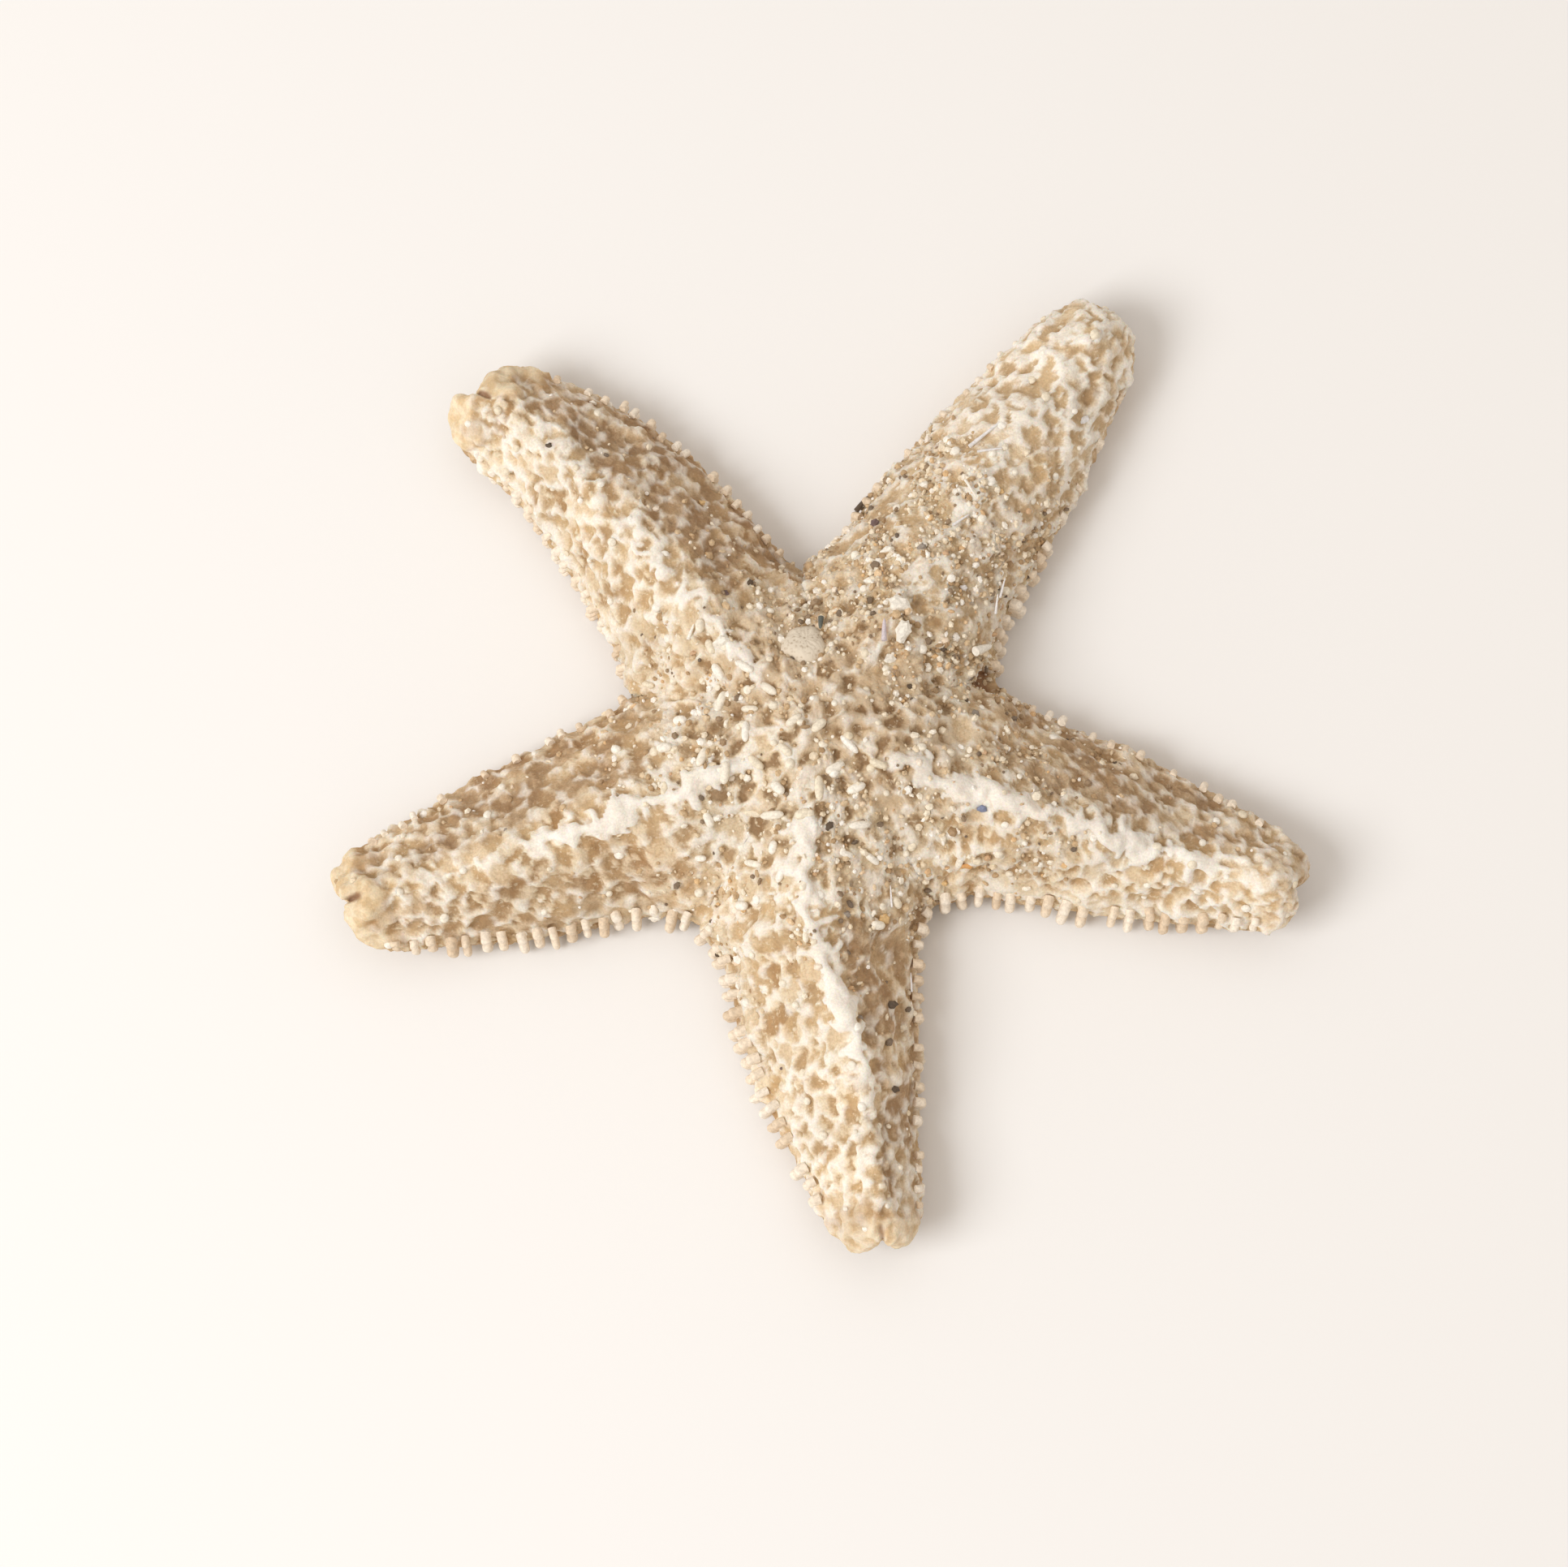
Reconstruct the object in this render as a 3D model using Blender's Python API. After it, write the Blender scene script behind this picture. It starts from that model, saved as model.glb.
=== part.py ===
"""A dried five-armed starfish, grown as one piece, built as one closed solid.

The skin is a lattice. Each arm carries rows that run across it, from one margin over the
ridge to the other and back along the underside. The rows of the disc end on the line
between two arms, where neighbouring arms share their corners.
"""
import math

import bmesh
import bpy
from mathutils import Matrix, Vector
from mathutils.bvhtree import BVHTree

MM = 0.001

# Driving dimensions of the body, in millimetres. Angles are in degrees.
DISC_HEIGHT = 12.6
MARGIN_HEIGHT = 2.3
MARGIN_SCALLOP = 0.6         # how far the spine rows make the edge step in and out
ARMPIT_ROUNDING = 2.0
TIP_NOTCH_DEPTH = 0.9        # the groove ends as a notch in each tip
TIP_NOTCH_WIDTH = 1.1
TIP_CENTRE_HEIGHT = 3.3
ROOF_CURVE = 0.8             # a lean arm's slopes, nearly flat
BARREL_CURVE = 0.62          # a plump arm's slopes, well rounded
PLUMP_FROM = 1.7             # sections rounder than this are plump
DISC_FALL = (2.2, 0.8)       # exponents of the disc's fall to an armpit

# The underside: a tube-foot groove along each arm, and the mouth where they meet.
GROOVE_HALF_WIDTH = 1.6
GROOVE_DEPTH = 2.2
MOUTH_RADIUS = 3.8
MOUTH_DEPTH = 2.6
EDGE_RISE = 2.4              # how far in from an armpit the underside reaches the ground

# The madreporite, a round sieve plate that stands off the back between two arms.
SIEVE_RADIUS = 2.1
SIEVE_THICKNESS = 1.0
SIEVE_RISE = 0.55
SIEVE_AZIMUTH = 99.0
SIEVE_DISTANCE = 7.6

# The middle of the disc, measured from the middle of the whole outline.
DISC_CENTRE = (-0.3, 1.55)

# Each arm, counter-clockwise. "bow" bends the centre line sideways, most at the fraction
# that "bow_place" raises to a half. "ridge_root" and "ridge_mid" move the ridge off it.
ARMS = (
    {"name": "north_east", "azimuth": 56.5, "reach": 44.8, "bow": 0.6, "bow_place": 1.0,
     "half_width": 8.8, "taper": 0.57, "ridge_root": 0.0, "ridge_mid": 0.0,
     "root_height": 11.2, "mid_height": 9.6, "tip_height": 6.8, "section": 1.9,
     "cap": 4.6, "lift": 0.8},
    {"name": "north_west", "azimuth": 134.0, "reach": 42.0, "bow": -2.8, "bow_place": 1.8,
     "half_width": 9.1, "taper": 0.56, "ridge_root": 0.6, "ridge_mid": 2.0,
     "root_height": 11.2, "mid_height": 9.8, "tip_height": 6.8, "section": 1.5,
     "cap": 3.6, "lift": 1.8},
    {"name": "west", "azimuth": 198.8, "reach": 41.5, "bow": 0.4, "bow_place": 2.0,
     "half_width": 9.8, "taper": 0.62, "ridge_root": 0.8, "ridge_mid": 0.6,
     "root_height": 11.2, "mid_height": 9.6, "tip_height": 6.6, "section": 1.35,
     "cap": 4.2, "lift": 2.2},
    {"name": "south", "azimuth": 277.2, "reach": 41.8, "bow": -2.1, "bow_place": 1.0,
     "half_width": 9.3, "taper": 0.66, "ridge_root": -1.3, "ridge_mid": 1.8,
     "root_height": 11.4, "mid_height": 10.0, "tip_height": 6.6, "section": 1.35,
     "cap": 3.6, "lift": 1.8},
    {"name": "east", "azimuth": 343.0, "reach": 41.7, "bow": 0.4, "bow_place": 2.0,
     "half_width": 9.1, "taper": 0.60, "ridge_root": -0.8, "ridge_mid": -1.2,
     "root_height": 11.2, "mid_height": 9.6, "tip_height": 6.4, "section": 1.35,
     "cap": 3.2, "lift": 1.8},
)

# Each armpit: the first lies between the first arm and the second, and so on round.
ARMPITS = (
    {"azimuth": 95.0, "radius": 15.4},
    {"azimuth": 163.0, "radius": 16.2},
    {"azimuth": 236.0, "radius": 17.4},
    {"azimuth": 306.5, "radius": 16.0},
    {"azimuth": 22.0, "radius": 16.0},
)

# How finely the lattice is drawn.
DISC_ROWS = 9
ARM_ROWS = 29
CAP_ROWS = 6
SLOPE_COLUMNS = 6

# Columns of the underside, from a margin inwards: share of the width, share of the
# margin's height. The strip between the last of these and the groove lies on the ground.
UNDER_EDGE = ((1.0, 1.0), (0.965, 0.45), (0.86, 0.10), (0.72, 0.0))
# Columns of the groove: share of its half width, share of its depth.
GROOVE_EDGE = ((1.0, 0.0), (0.62, 0.75), (0.0, 1.0))

SKIN_COLOUR = (0.61, 0.45, 0.29, 1.0)
SKIN_ROUGHNESS = 0.85
SMOOTH_UNDER = 50.0          # edges that turn less than this are shaded smooth


def ease(value):
    """A smooth step from 0 to 1."""
    held = min(max(value, 0.0), 1.0)
    return held * held * (3.0 - 2.0 * held)


def bump(value, centre, spread=0.22):
    """A smooth rise to 1 at a centre."""
    return math.exp(-(((value - centre) / spread) ** 2))


def polar(radius, azimuth):
    """A point in plan from its distance and direction."""
    angle = math.radians(azimuth)
    return radius * math.cos(angle), radius * math.sin(angle)


def half_width(arm, along):
    """Half the arm's width at a distance along it."""
    return arm["half_width"] * (1.0 - arm["taper"] * (along / arm["reach"]) ** 2.6)


def centre_line(arm, along):
    """How far the arm's middle lies to the left of its straight axis."""
    return arm["bow"] * math.sin(math.pi * (along / arm["reach"]) ** arm["bow_place"])


def ridge_line(arm, along):
    """How far the ridge lies to the left of the arm's straight axis."""
    share = along / arm["reach"]
    lean = arm["ridge_root"] * bump(share, 0.3) + arm["ridge_mid"] * bump(share, 0.65)
    return centre_line(arm, along) + lean * ease(share / 0.2) * ease((1.0 - share) / 0.1)


def ridge_height(arm, along):
    """The ridge's height above the underside."""
    share = along / arm["reach"]
    height = arm["root_height"] + (DISC_HEIGHT - arm["root_height"]) * (1.0 - ease(share / 0.35))
    height -= (arm["root_height"] - arm["mid_height"]) * ease((share - 0.2) / 0.5)
    return height - (arm["mid_height"] - arm["tip_height"]) * ease((share - 0.5) / 0.5)


def section_rise(arm, share):
    """How high the back stands at a share of the way from ridge to margin, 1 at the ridge."""
    curve = BARREL_CURVE if arm["section"] > PLUMP_FROM else ROOF_CURVE
    return max(0.0, 1.0 - share ** arm["section"]) ** curve


def tip_lift(arm, along):
    """How far the end of the arm curls up off the ground."""
    return arm["lift"] * ease((along / arm["reach"] - 0.72) / 0.28)


def armpit_corners(index):
    """The armpits on the arm's left and right, along and across its axis."""
    corners = []
    for pit in (ARMPITS[index], ARMPITS[index - 1]):
        corners.append(polar(pit["radius"], pit["azimuth"] - ARMS[index]["azimuth"]))
    return corners


def margin_point(arm, corner, side, along, scallop):
    """A point of one margin, which springs from the armpit and settles on the arm's width."""
    width = side * half_width(arm, along)
    start = centre_line(arm, corner[0]) + side * half_width(arm, corner[0])
    spring = (corner[1] - start) * math.exp(-(along - corner[0]) / ARMPIT_ROUNDING)
    return along, centre_line(arm, along) + width + spring + side * scallop


def arm_rows(index):
    """Every row of an arm: its place on the ridge, its two ends, and how full its section is."""
    arm = ARMS[index]
    left, right = armpit_corners(index)
    root = 0.49 * (ARMPITS[index]["radius"] + ARMPITS[index - 1]["radius"])
    body_end = arm["reach"] - arm["cap"]
    rows = []
    for step in range(DISC_ROWS + 1):
        share = step / DISC_ROWS
        gaps = [math.hypot(*corner) * (1.0 - share) for corner in (left, right)]
        rows.append({"kind": "disc", "full": share, "ridge": share * root,
                     "left": (share * left[0], share * left[1]),
                     "right": (share * right[0], share * right[1]),
                     "left_edge": MARGIN_HEIGHT * (1.0 - ease(gaps[0] / EDGE_RISE)),
                     "right_edge": MARGIN_HEIGHT * (1.0 - ease(gaps[1] / EDGE_RISE))})
    for step in range(1, ARM_ROWS + 1):
        share = step / ARM_ROWS
        scallop = MARGIN_SCALLOP * (0.5 if step % 2 else -0.5)
        ends = []
        for corner, side in ((left, 1.0), (right, -1.0)):
            along = corner[0] + (body_end - corner[0]) * share
            ends.append(margin_point(arm, corner, side, along, scallop))
        rows.append({"kind": "arm", "full": 1.0, "ridge": root + (body_end - root) * share,
                     "left": ends[0], "right": ends[1],
                     "left_edge": MARGIN_HEIGHT, "right_edge": MARGIN_HEIGHT})
    for step in range(1, CAP_ROWS + 1):
        angle = 0.5 * math.pi * step / CAP_ROWS
        along = body_end + arm["cap"] * math.sin(angle)
        full = 0.0 if step == CAP_ROWS else math.cos(angle) ** 0.75
        middle = centre_line(arm, along)
        width = half_width(arm, along) * full
        rows.append({"kind": "cap", "full": full, "ridge": along,
                     "left": (along, middle + width), "right": (along, middle - width),
                     "left_edge": MARGIN_HEIGHT, "right_edge": MARGIN_HEIGHT})
    return rows


def back_height(arm, row, share):
    """The height of the back at a share of the way from the ridge to a row's end."""
    ridge = ridge_height(arm, row["ridge"])
    rise = section_rise(arm, share)
    if row["kind"] == "disc":
        power, root = DISC_FALL
        fall = (1.0 - row["full"] ** power) ** root
        valley = MARGIN_HEIGHT + (DISC_HEIGHT - MARGIN_HEIGHT) * fall
        saddle = math.cos(0.5 * math.pi * share) ** 2
        return valley + (ridge - valley) * (saddle + (rise - saddle) * row["full"] ** 2)
    height = MARGIN_HEIGHT + (ridge - MARGIN_HEIGHT) * rise
    return TIP_CENTRE_HEIGHT + (height - TIP_CENTRE_HEIGHT) * row["full"]


def back_side(arm, row, side):
    """The back of half a row, from the ridge out to its end."""
    end = row[side]
    ridge_at = ridge_line(arm, row["ridge"])
    points = []
    for step in range(SLOPE_COLUMNS + 1):
        share = step / SLOPE_COLUMNS
        along = row["ridge"] + (end[0] - row["ridge"]) * share ** 2
        across = ridge_at + (end[1] - ridge_at) * share
        points.append((along, across, back_height(arm, row, share)))
    return points


def under_side(arm, row, side):
    """The underside of half a row, from its end in to the middle of the groove."""
    end = row[side]
    middle = centre_line(arm, row["ridge"])
    span = abs(end[1] - middle)
    sign = 1.0 if side == "left" else -1.0
    groove = min(GROOVE_HALF_WIDTH, 0.4 * span)
    columns = [(share * span, rise * row[side + "_edge"]) for share, rise in UNDER_EDGE]
    columns += [(share * groove, depth * GROOVE_DEPTH) for share, depth in GROOVE_EDGE]
    points = []
    for offset, up in columns:
        share = offset / span if span > 0.0 else 0.0
        along = row["ridge"] + (end[0] - row["ridge"]) * share ** 2
        across = middle + sign * offset
        if row["kind"] == "disc":
            up = max(up, MOUTH_DEPTH * (1.0 - ease(math.hypot(along, across) / MOUTH_RADIUS)))
        else:
            up = TIP_CENTRE_HEIGHT + (up - TIP_CENTRE_HEIGHT) * row["full"]
        points.append((along, across, up))
    return points


def row_points(arm, row):
    """One row's points: over the back from left to right, then back along the underside."""
    over = back_side(arm, row, "left")[:0:-1] + back_side(arm, row, "right")
    under = under_side(arm, row, "right") + under_side(arm, row, "left")[-2::-1]
    return [finished(arm, row, point) for point in over + under]


def finished(arm, row, point):
    """A point with the tip's upward curl, and the notch where the groove ends in the tip."""
    along, across, up = point
    if row["kind"] == "cap":
        offset = across - centre_line(arm, row["ridge"])
        depth = TIP_NOTCH_DEPTH * math.sqrt(1.0 - row["full"])
        along -= depth * math.exp(-((offset / TIP_NOTCH_WIDTH) ** 2))
    return along, across, up + tip_lift(arm, row["ridge"])


def placed(arm, point):
    """A point of an arm in the frame of the whole starfish, in metres."""
    along, across, up = point
    angle = math.radians(arm["azimuth"])
    x = along * math.cos(angle) - across * math.sin(angle) + DISC_CENTRE[0]
    y = along * math.sin(angle) + across * math.cos(angle) + DISC_CENTRE[1]
    return x * MM, y * MM, up * MM


def bridge_rows(mesh, lattice):
    """Join neighbouring rows, but not the back to the underside at a row's two ends.

    On an arm those corners meet at the margin. In the disc the next arm carries on.
    """
    count = len(lattice[0])
    right_end = 2 * SLOPE_COLUMNS
    for inner, outer in zip(lattice, lattice[1:]):
        for column in range(count - 1):
            if column != right_end:
                mesh.faces.new((inner[column], outer[column], outer[column + 1], inner[column + 1]))


def build_body():
    """The whole skin as one closed mesh."""
    mesh = bmesh.new()
    for index, arm in enumerate(ARMS):
        lattice = []
        for row in arm_rows(index):
            points = row_points(arm, row)
            lattice.append([mesh.verts.new(placed(arm, point)) for point in points])
        bridge_rows(mesh, lattice)
    bmesh.ops.remove_doubles(mesh, verts=mesh.verts, dist=0.002 * MM)
    bmesh.ops.recalc_face_normals(mesh, faces=mesh.faces)
    return mesh_object("starfish", mesh)


def build_sieve_plate(body):
    """The madreporite, a flat dome half sunk in the back and square to it."""
    x, y = polar(SIEVE_DISTANCE, SIEVE_AZIMUTH)
    above = Vector((x + DISC_CENTRE[0], y + DISC_CENTRE[1], 2.0 * DISC_HEIGHT)) * MM
    skin = BVHTree.FromObject(body, bpy.context.evaluated_depsgraph_get())
    seat, normal, _, _ = skin.ray_cast(above, Vector((0.0, 0.0, -1.0)))
    centre = seat + normal * (SIEVE_RISE - SIEVE_THICKNESS) * MM
    turned = normal.to_track_quat("Z", "Y").to_matrix().to_4x4()
    sizes = Vector((SIEVE_RADIUS, SIEVE_RADIUS, SIEVE_THICKNESS)) * MM
    flattened = Matrix.Diagonal(sizes.to_4d())
    mesh = bmesh.new()
    bmesh.ops.create_uvsphere(mesh, u_segments=18, v_segments=10, radius=1.0,
                              matrix=Matrix.Translation(centre) @ turned @ flattened)
    plate = mesh_object("sieve_plate_shape", mesh)
    plate.hide_render = True
    plate.display_type = "WIRE"
    return plate


def join_plate(body, plate):
    """Grow the plate into the skin."""
    union = body.modifiers.new("sieve plate", "BOOLEAN")
    union.operation = "UNION"
    union.object = plate
    facets = body.modifiers.new("facets", "TRIANGULATE")
    facets.quad_method = "BEAUTY"


def skin_material():
    """Dry, chalky, ivory brown skin."""
    material = bpy.data.materials.new("dried_skin")
    material.use_nodes = True
    shader = material.node_tree.nodes["Principled BSDF"]
    shader.inputs["Base Color"].default_value = SKIN_COLOUR
    shader.inputs["Roughness"].default_value = SKIN_ROUGHNESS
    shader.inputs["Metallic"].default_value = 0.0
    return material


def mesh_object(name, mesh):
    """A named object that holds a finished bmesh."""
    data = bpy.data.meshes.new(name)
    mesh.to_mesh(data)
    mesh.free()
    body = bpy.data.objects.new(name, data)
    bpy.context.collection.objects.link(body)
    return body


def clear_scene():
    """Start from an empty scene."""
    for item in list(bpy.data.objects):
        bpy.data.objects.remove(item, do_unlink=True)


def main():
    clear_scene()
    body = build_body()
    join_plate(body, build_sieve_plate(body))
    body.data.materials.append(skin_material())
    body.data.shade_smooth()
    body.data.set_sharp_from_angle(angle=math.radians(SMOOTH_UNDER))


main()
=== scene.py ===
import math

import bpy
import numpy as np
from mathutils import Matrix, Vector
from mathutils.kdtree import KDTree


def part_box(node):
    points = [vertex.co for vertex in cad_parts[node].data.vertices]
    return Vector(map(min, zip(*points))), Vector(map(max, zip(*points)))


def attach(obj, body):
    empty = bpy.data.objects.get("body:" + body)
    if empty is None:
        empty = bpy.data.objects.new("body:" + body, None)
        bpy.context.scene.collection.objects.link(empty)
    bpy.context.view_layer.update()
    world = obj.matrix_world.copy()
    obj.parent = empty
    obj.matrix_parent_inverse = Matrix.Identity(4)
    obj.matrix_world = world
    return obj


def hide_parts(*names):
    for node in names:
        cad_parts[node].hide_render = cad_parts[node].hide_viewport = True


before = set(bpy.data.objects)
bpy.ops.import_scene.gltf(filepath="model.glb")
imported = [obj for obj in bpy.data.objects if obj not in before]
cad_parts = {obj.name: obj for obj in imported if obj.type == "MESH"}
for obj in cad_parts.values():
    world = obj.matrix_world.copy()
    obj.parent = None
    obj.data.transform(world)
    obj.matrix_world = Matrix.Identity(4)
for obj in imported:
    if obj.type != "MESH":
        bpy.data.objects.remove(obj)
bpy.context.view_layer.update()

mm = 0.001

# the same body the CAD node holds, in millimetres, with the disc off the middle of the outline
body = {
    "discHeight": 12.6, "marginHeight": 2.3, "armpitRounding": 2.0,
    "tipNotchDepth": 1.1, "tipNotchWidth": 0.9, "tipCentreHeight": 3.3,
    "roofCurve": 0.8, "barrelCurve": 0.62, "plumpFrom": 1.7, "discFall": (2.2, 0.8),
    "grooveHalfWidth": 1.6, "grooveDepth": 2.2, "mouthRadius": 3.8, "mouthDepth": 2.6,
    "edgeRise": 2.4, "discOffset": (-0.3, 1.55),
}

# in pairs, left then right looking out along the arm, each from 0 to 1: comb, how far the margin spines
# stand free;
# bareAndShaded, how dusty and smooth the flank is, which also paints shade on the flank turned from the key
# light;
# band, the smooth pale rim above the spines.
# chain is the white ridge down the back, and white is how chalky the rest of the net is
arms = [
    {"name": "northEast", "azimuth": 56.5, "reach": 44.8, "bow": 0.6, "bowPlace": 1.0,
     "halfWidth": 8.8, "taper": 0.57, "ridgeRoot": 0.0, "ridgeMid": 0.0,
     "rootHeight": 11.2, "midHeight": 9.6, "tipHeight": 6.8, "section": 1.9,
     "cap": 4.6, "lift": 0.8, "comb": (0.35, 0.80), "combEnd": 0.48, "bareAndShaded": (0.15, 0.20),
     "band": (0.0, 0.2), "cells": 1.08, "white": 1.0, "chain": 0.25, "chainEnd": 0.85,
     "tipCap": 0.0, "notch": 0.15, "sandReach": 33.0, "sand": 1.0},
    {"name": "northWest", "azimuth": 134.0, "reach": 42.0, "bow": -2.8, "bowPlace": 1.8,
     "halfWidth": 9.1, "taper": 0.56, "ridgeRoot": 0.6, "ridgeMid": 2.0,
     "rootHeight": 11.2, "midHeight": 9.8, "tipHeight": 6.8, "section": 1.5,
     "cap": 3.6, "lift": 1.8, "comb": (0.40, 0.20), "combEnd": 0.75, "bareAndShaded": (0.0, 1.15),
     "band": (1.0, 0.0), "cells": 0.92, "white": 0.35, "chain": 0.45, "chainEnd": 0.60,
     "tipCap": 1.0, "notch": 1.0, "sandReach": 22.0, "sand": 0.5},
    {"name": "west", "azimuth": 198.8, "reach": 41.5, "bow": 0.4, "bowPlace": 2.0,
     "halfWidth": 9.8, "taper": 0.62, "ridgeRoot": 0.8, "ridgeMid": 0.6,
     "rootHeight": 11.2, "midHeight": 9.6, "tipHeight": 6.6, "section": 1.35,
     "cap": 4.2, "lift": 2.2, "comb": (0.90, 0.10), "combEnd": 0.80, "bareAndShaded": (0.45, 0.75),
     "band": (0.5, 0.0), "cells": 1.14, "white": 0.25, "chain": 0.95, "chainEnd": 0.60,
     "tipCap": 1.0, "notch": 0.8, "sandReach": 22.0, "sand": 0.5},
    {"name": "south", "azimuth": 277.2, "reach": 41.8, "bow": -2.1, "bowPlace": 1.0,
     "halfWidth": 9.3, "taper": 0.66, "ridgeRoot": -1.3, "ridgeMid": 1.8,
     "rootHeight": 11.4, "midHeight": 10.0, "tipHeight": 6.6, "section": 1.35,
     "cap": 3.6, "lift": 1.8, "comb": (0.35, 0.95), "combEnd": 0.80, "bareAndShaded": (0.85, 0.0),
     "band": (0.0, 0.7), "cells": 0.98, "white": 0.4, "chain": 0.95, "chainEnd": 0.68,
     "tipCap": 0.65, "notch": 0.9, "sandReach": 27.0, "sand": 0.6},
    {"name": "east", "azimuth": 343.0, "reach": 41.7, "bow": 0.4, "bowPlace": 2.0,
     "halfWidth": 9.1, "taper": 0.60, "ridgeRoot": -0.8, "ridgeMid": -1.2,
     "rootHeight": 11.2, "midHeight": 9.6, "tipHeight": 6.4, "section": 1.35,
     "cap": 3.2, "lift": 1.8, "comb": (0.10, 0.90), "combEnd": 1.0, "bareAndShaded": (0.70, 0.0),
     "band": (0.0, 1.0), "cells": 0.96, "white": 0.4, "chain": 1.1, "chainEnd": 0.84,
     "tipCap": 0.15, "notch": 0.9, "sandReach": 29.0, "sand": 0.6},
]

# each armpit in turn lies between one arm and the next
armpits = [
    {"azimuth": 95.0, "radius": 15.4},
    {"azimuth": 163.0, "radius": 16.2},
    {"azimuth": 236.0, "radius": 17.4},
    {"azimuth": 306.5, "radius": 16.0},
    {"azimuth": 22.0, "radius": 16.0},
]

skin = {
    "discRows": 52, "armRows": 88, "capRows": 20, "slopeColumns": 44, "columnCrowding": 1.25,
    "combInset": 0.95, "buriedInset": 0.35,      # how far the skin's edge stays inside the spines
    "cellSize": 1.78, "tipCellSize": 1.32, "ladderPitch": 2.6, "ladderOffset": 1.45,
    "wander": 0.50, "netHeight": 0.35, "netHalfWidth": 0.82, "discHalfWidth": 0.95,
    "carinalHeight": 0.68, "carinalHalfWidth": 0.72, "knobHeight": 0.20, "bandHeight": 0.35,
    "rungPitch": 2.1, "rungHalfWidth": 0.40,
    "hollow": (13.6, 5.7, 4.0), "hollowRadius": 1.5, "hollowDepth": 0.9,     # from the middle of the disc
    "cellTries": 26000, "missingBars": 0.30, "seed": 11,
}


def ease(value):
    held = np.clip(value, 0.0, 1.0)
    return held * held * (3.0 - 2.0 * held)


def bump(value, centre, spread=0.22):
    return np.exp(-(((value - centre) / spread) ** 2))


def polar(radius, azimuth):
    angle = math.radians(azimuth)
    return radius * math.cos(angle), radius * math.sin(angle)


def halfWidth(arm, along):
    return arm["halfWidth"] * (1.0 - arm["taper"] * (along / arm["reach"]) ** 2.6)


def centreLine(arm, along):
    return arm["bow"] * np.sin(math.pi * (along / arm["reach"]) ** arm["bowPlace"])


def ridgeLine(arm, along):
    share = along / arm["reach"]
    lean = arm["ridgeRoot"] * bump(share, 0.3) + arm["ridgeMid"] * bump(share, 0.65)
    return centreLine(arm, along) + lean * ease(share / 0.2) * ease((1.0 - share) / 0.1)


def ridgeHeight(arm, along):
    share = along / arm["reach"]
    height = arm["rootHeight"] + (body["discHeight"] - arm["rootHeight"]) * (1.0 - ease(share / 0.35))
    height -= (arm["rootHeight"] - arm["midHeight"]) * ease((share - 0.2) / 0.5)
    return height - (arm["midHeight"] - arm["tipHeight"]) * ease((share - 0.5) / 0.5)


def sectionRise(arm, share):
    curve = body["barrelCurve"] if arm["section"] > body["plumpFrom"] else body["roofCurve"]
    return np.maximum(0.0, 1.0 - share ** arm["section"]) ** curve


def tipLift(arm, along):
    return arm["lift"] * ease((along / arm["reach"] - 0.72) / 0.28)


def waves(points, size, seed, count=14):
    # a smooth random field: many plane waves of about one size, near 0 with a spread of 1
    rng = np.random.default_rng(seed)
    heading = rng.normal(size=(count, 3))
    heading /= np.linalg.norm(heading, axis=1, keepdims=True)
    pace = 2.0 * math.pi / size * rng.uniform(0.6, 1.5, size=(count, 1))
    phase = rng.uniform(0.0, 2.0 * math.pi, count)
    return np.sin(points @ (heading * pace).T + phase).sum(axis=1) / math.sqrt(count / 2.0)


def atDisc(x, y):
    # a plan place measured from the middle of the disc, in the star's own frame
    return x + body["discOffset"][0], y + body["discOffset"][1]


def fromDisc(points):
    # how far each point is from the middle of the disc, in plan
    return np.hypot(*(points[:, :2] - body["discOffset"]).T)


def toStar(arm, along, across, up):
    angle = math.radians(arm["azimuth"])
    x = along * math.cos(angle) - across * math.sin(angle)
    y = along * math.sin(angle) + across * math.cos(angle)
    return np.stack([*atDisc(x, y), up], axis=-1)


def perArm(tags, key):
    # each point takes the value of its own arm
    return np.array([arm[key] for arm in arms])[tags[:, 3].astype(int)]


def combAt(arm, side, along):
    # the spines stand free near the root and are folded in past the comb's end
    free = arm["comb"][0 if side > 0 else 1]
    return free * (1.0 - 0.85 * float(ease((along / arm["reach"] - arm["combEnd"]) / 0.2)))


def marginInset(arm, side, along, corner):
    # the free spines need room outside the skin, and none at the armpit
    comb = combAt(arm, side, along)
    inset = skin["buriedInset"] + (skin["combInset"] - skin["buriedInset"]) * comb
    away = ease((along - corner[0]) / 3.0)
    nearTip = ease((arm["reach"] - along) / 9.0)
    return inset * away * (0.25 + 0.75 * nearTip)


def marginAcross(arm, corner, side, along):
    spring = corner[1] - centreLine(arm, corner[0]) - side * halfWidth(arm, corner[0])
    fade = np.exp(-(along - corner[0]) / body["armpitRounding"])
    width = halfWidth(arm, along) - marginInset(arm, side, along, corner)
    return centreLine(arm, along) + side * width + spring * fade


def armCorners(index):
    corners = []
    for pit in (armpits[index], armpits[index - 1]):
        corners.append(polar(pit["radius"], pit["azimuth"] - arms[index]["azimuth"]))
    return corners


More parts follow.
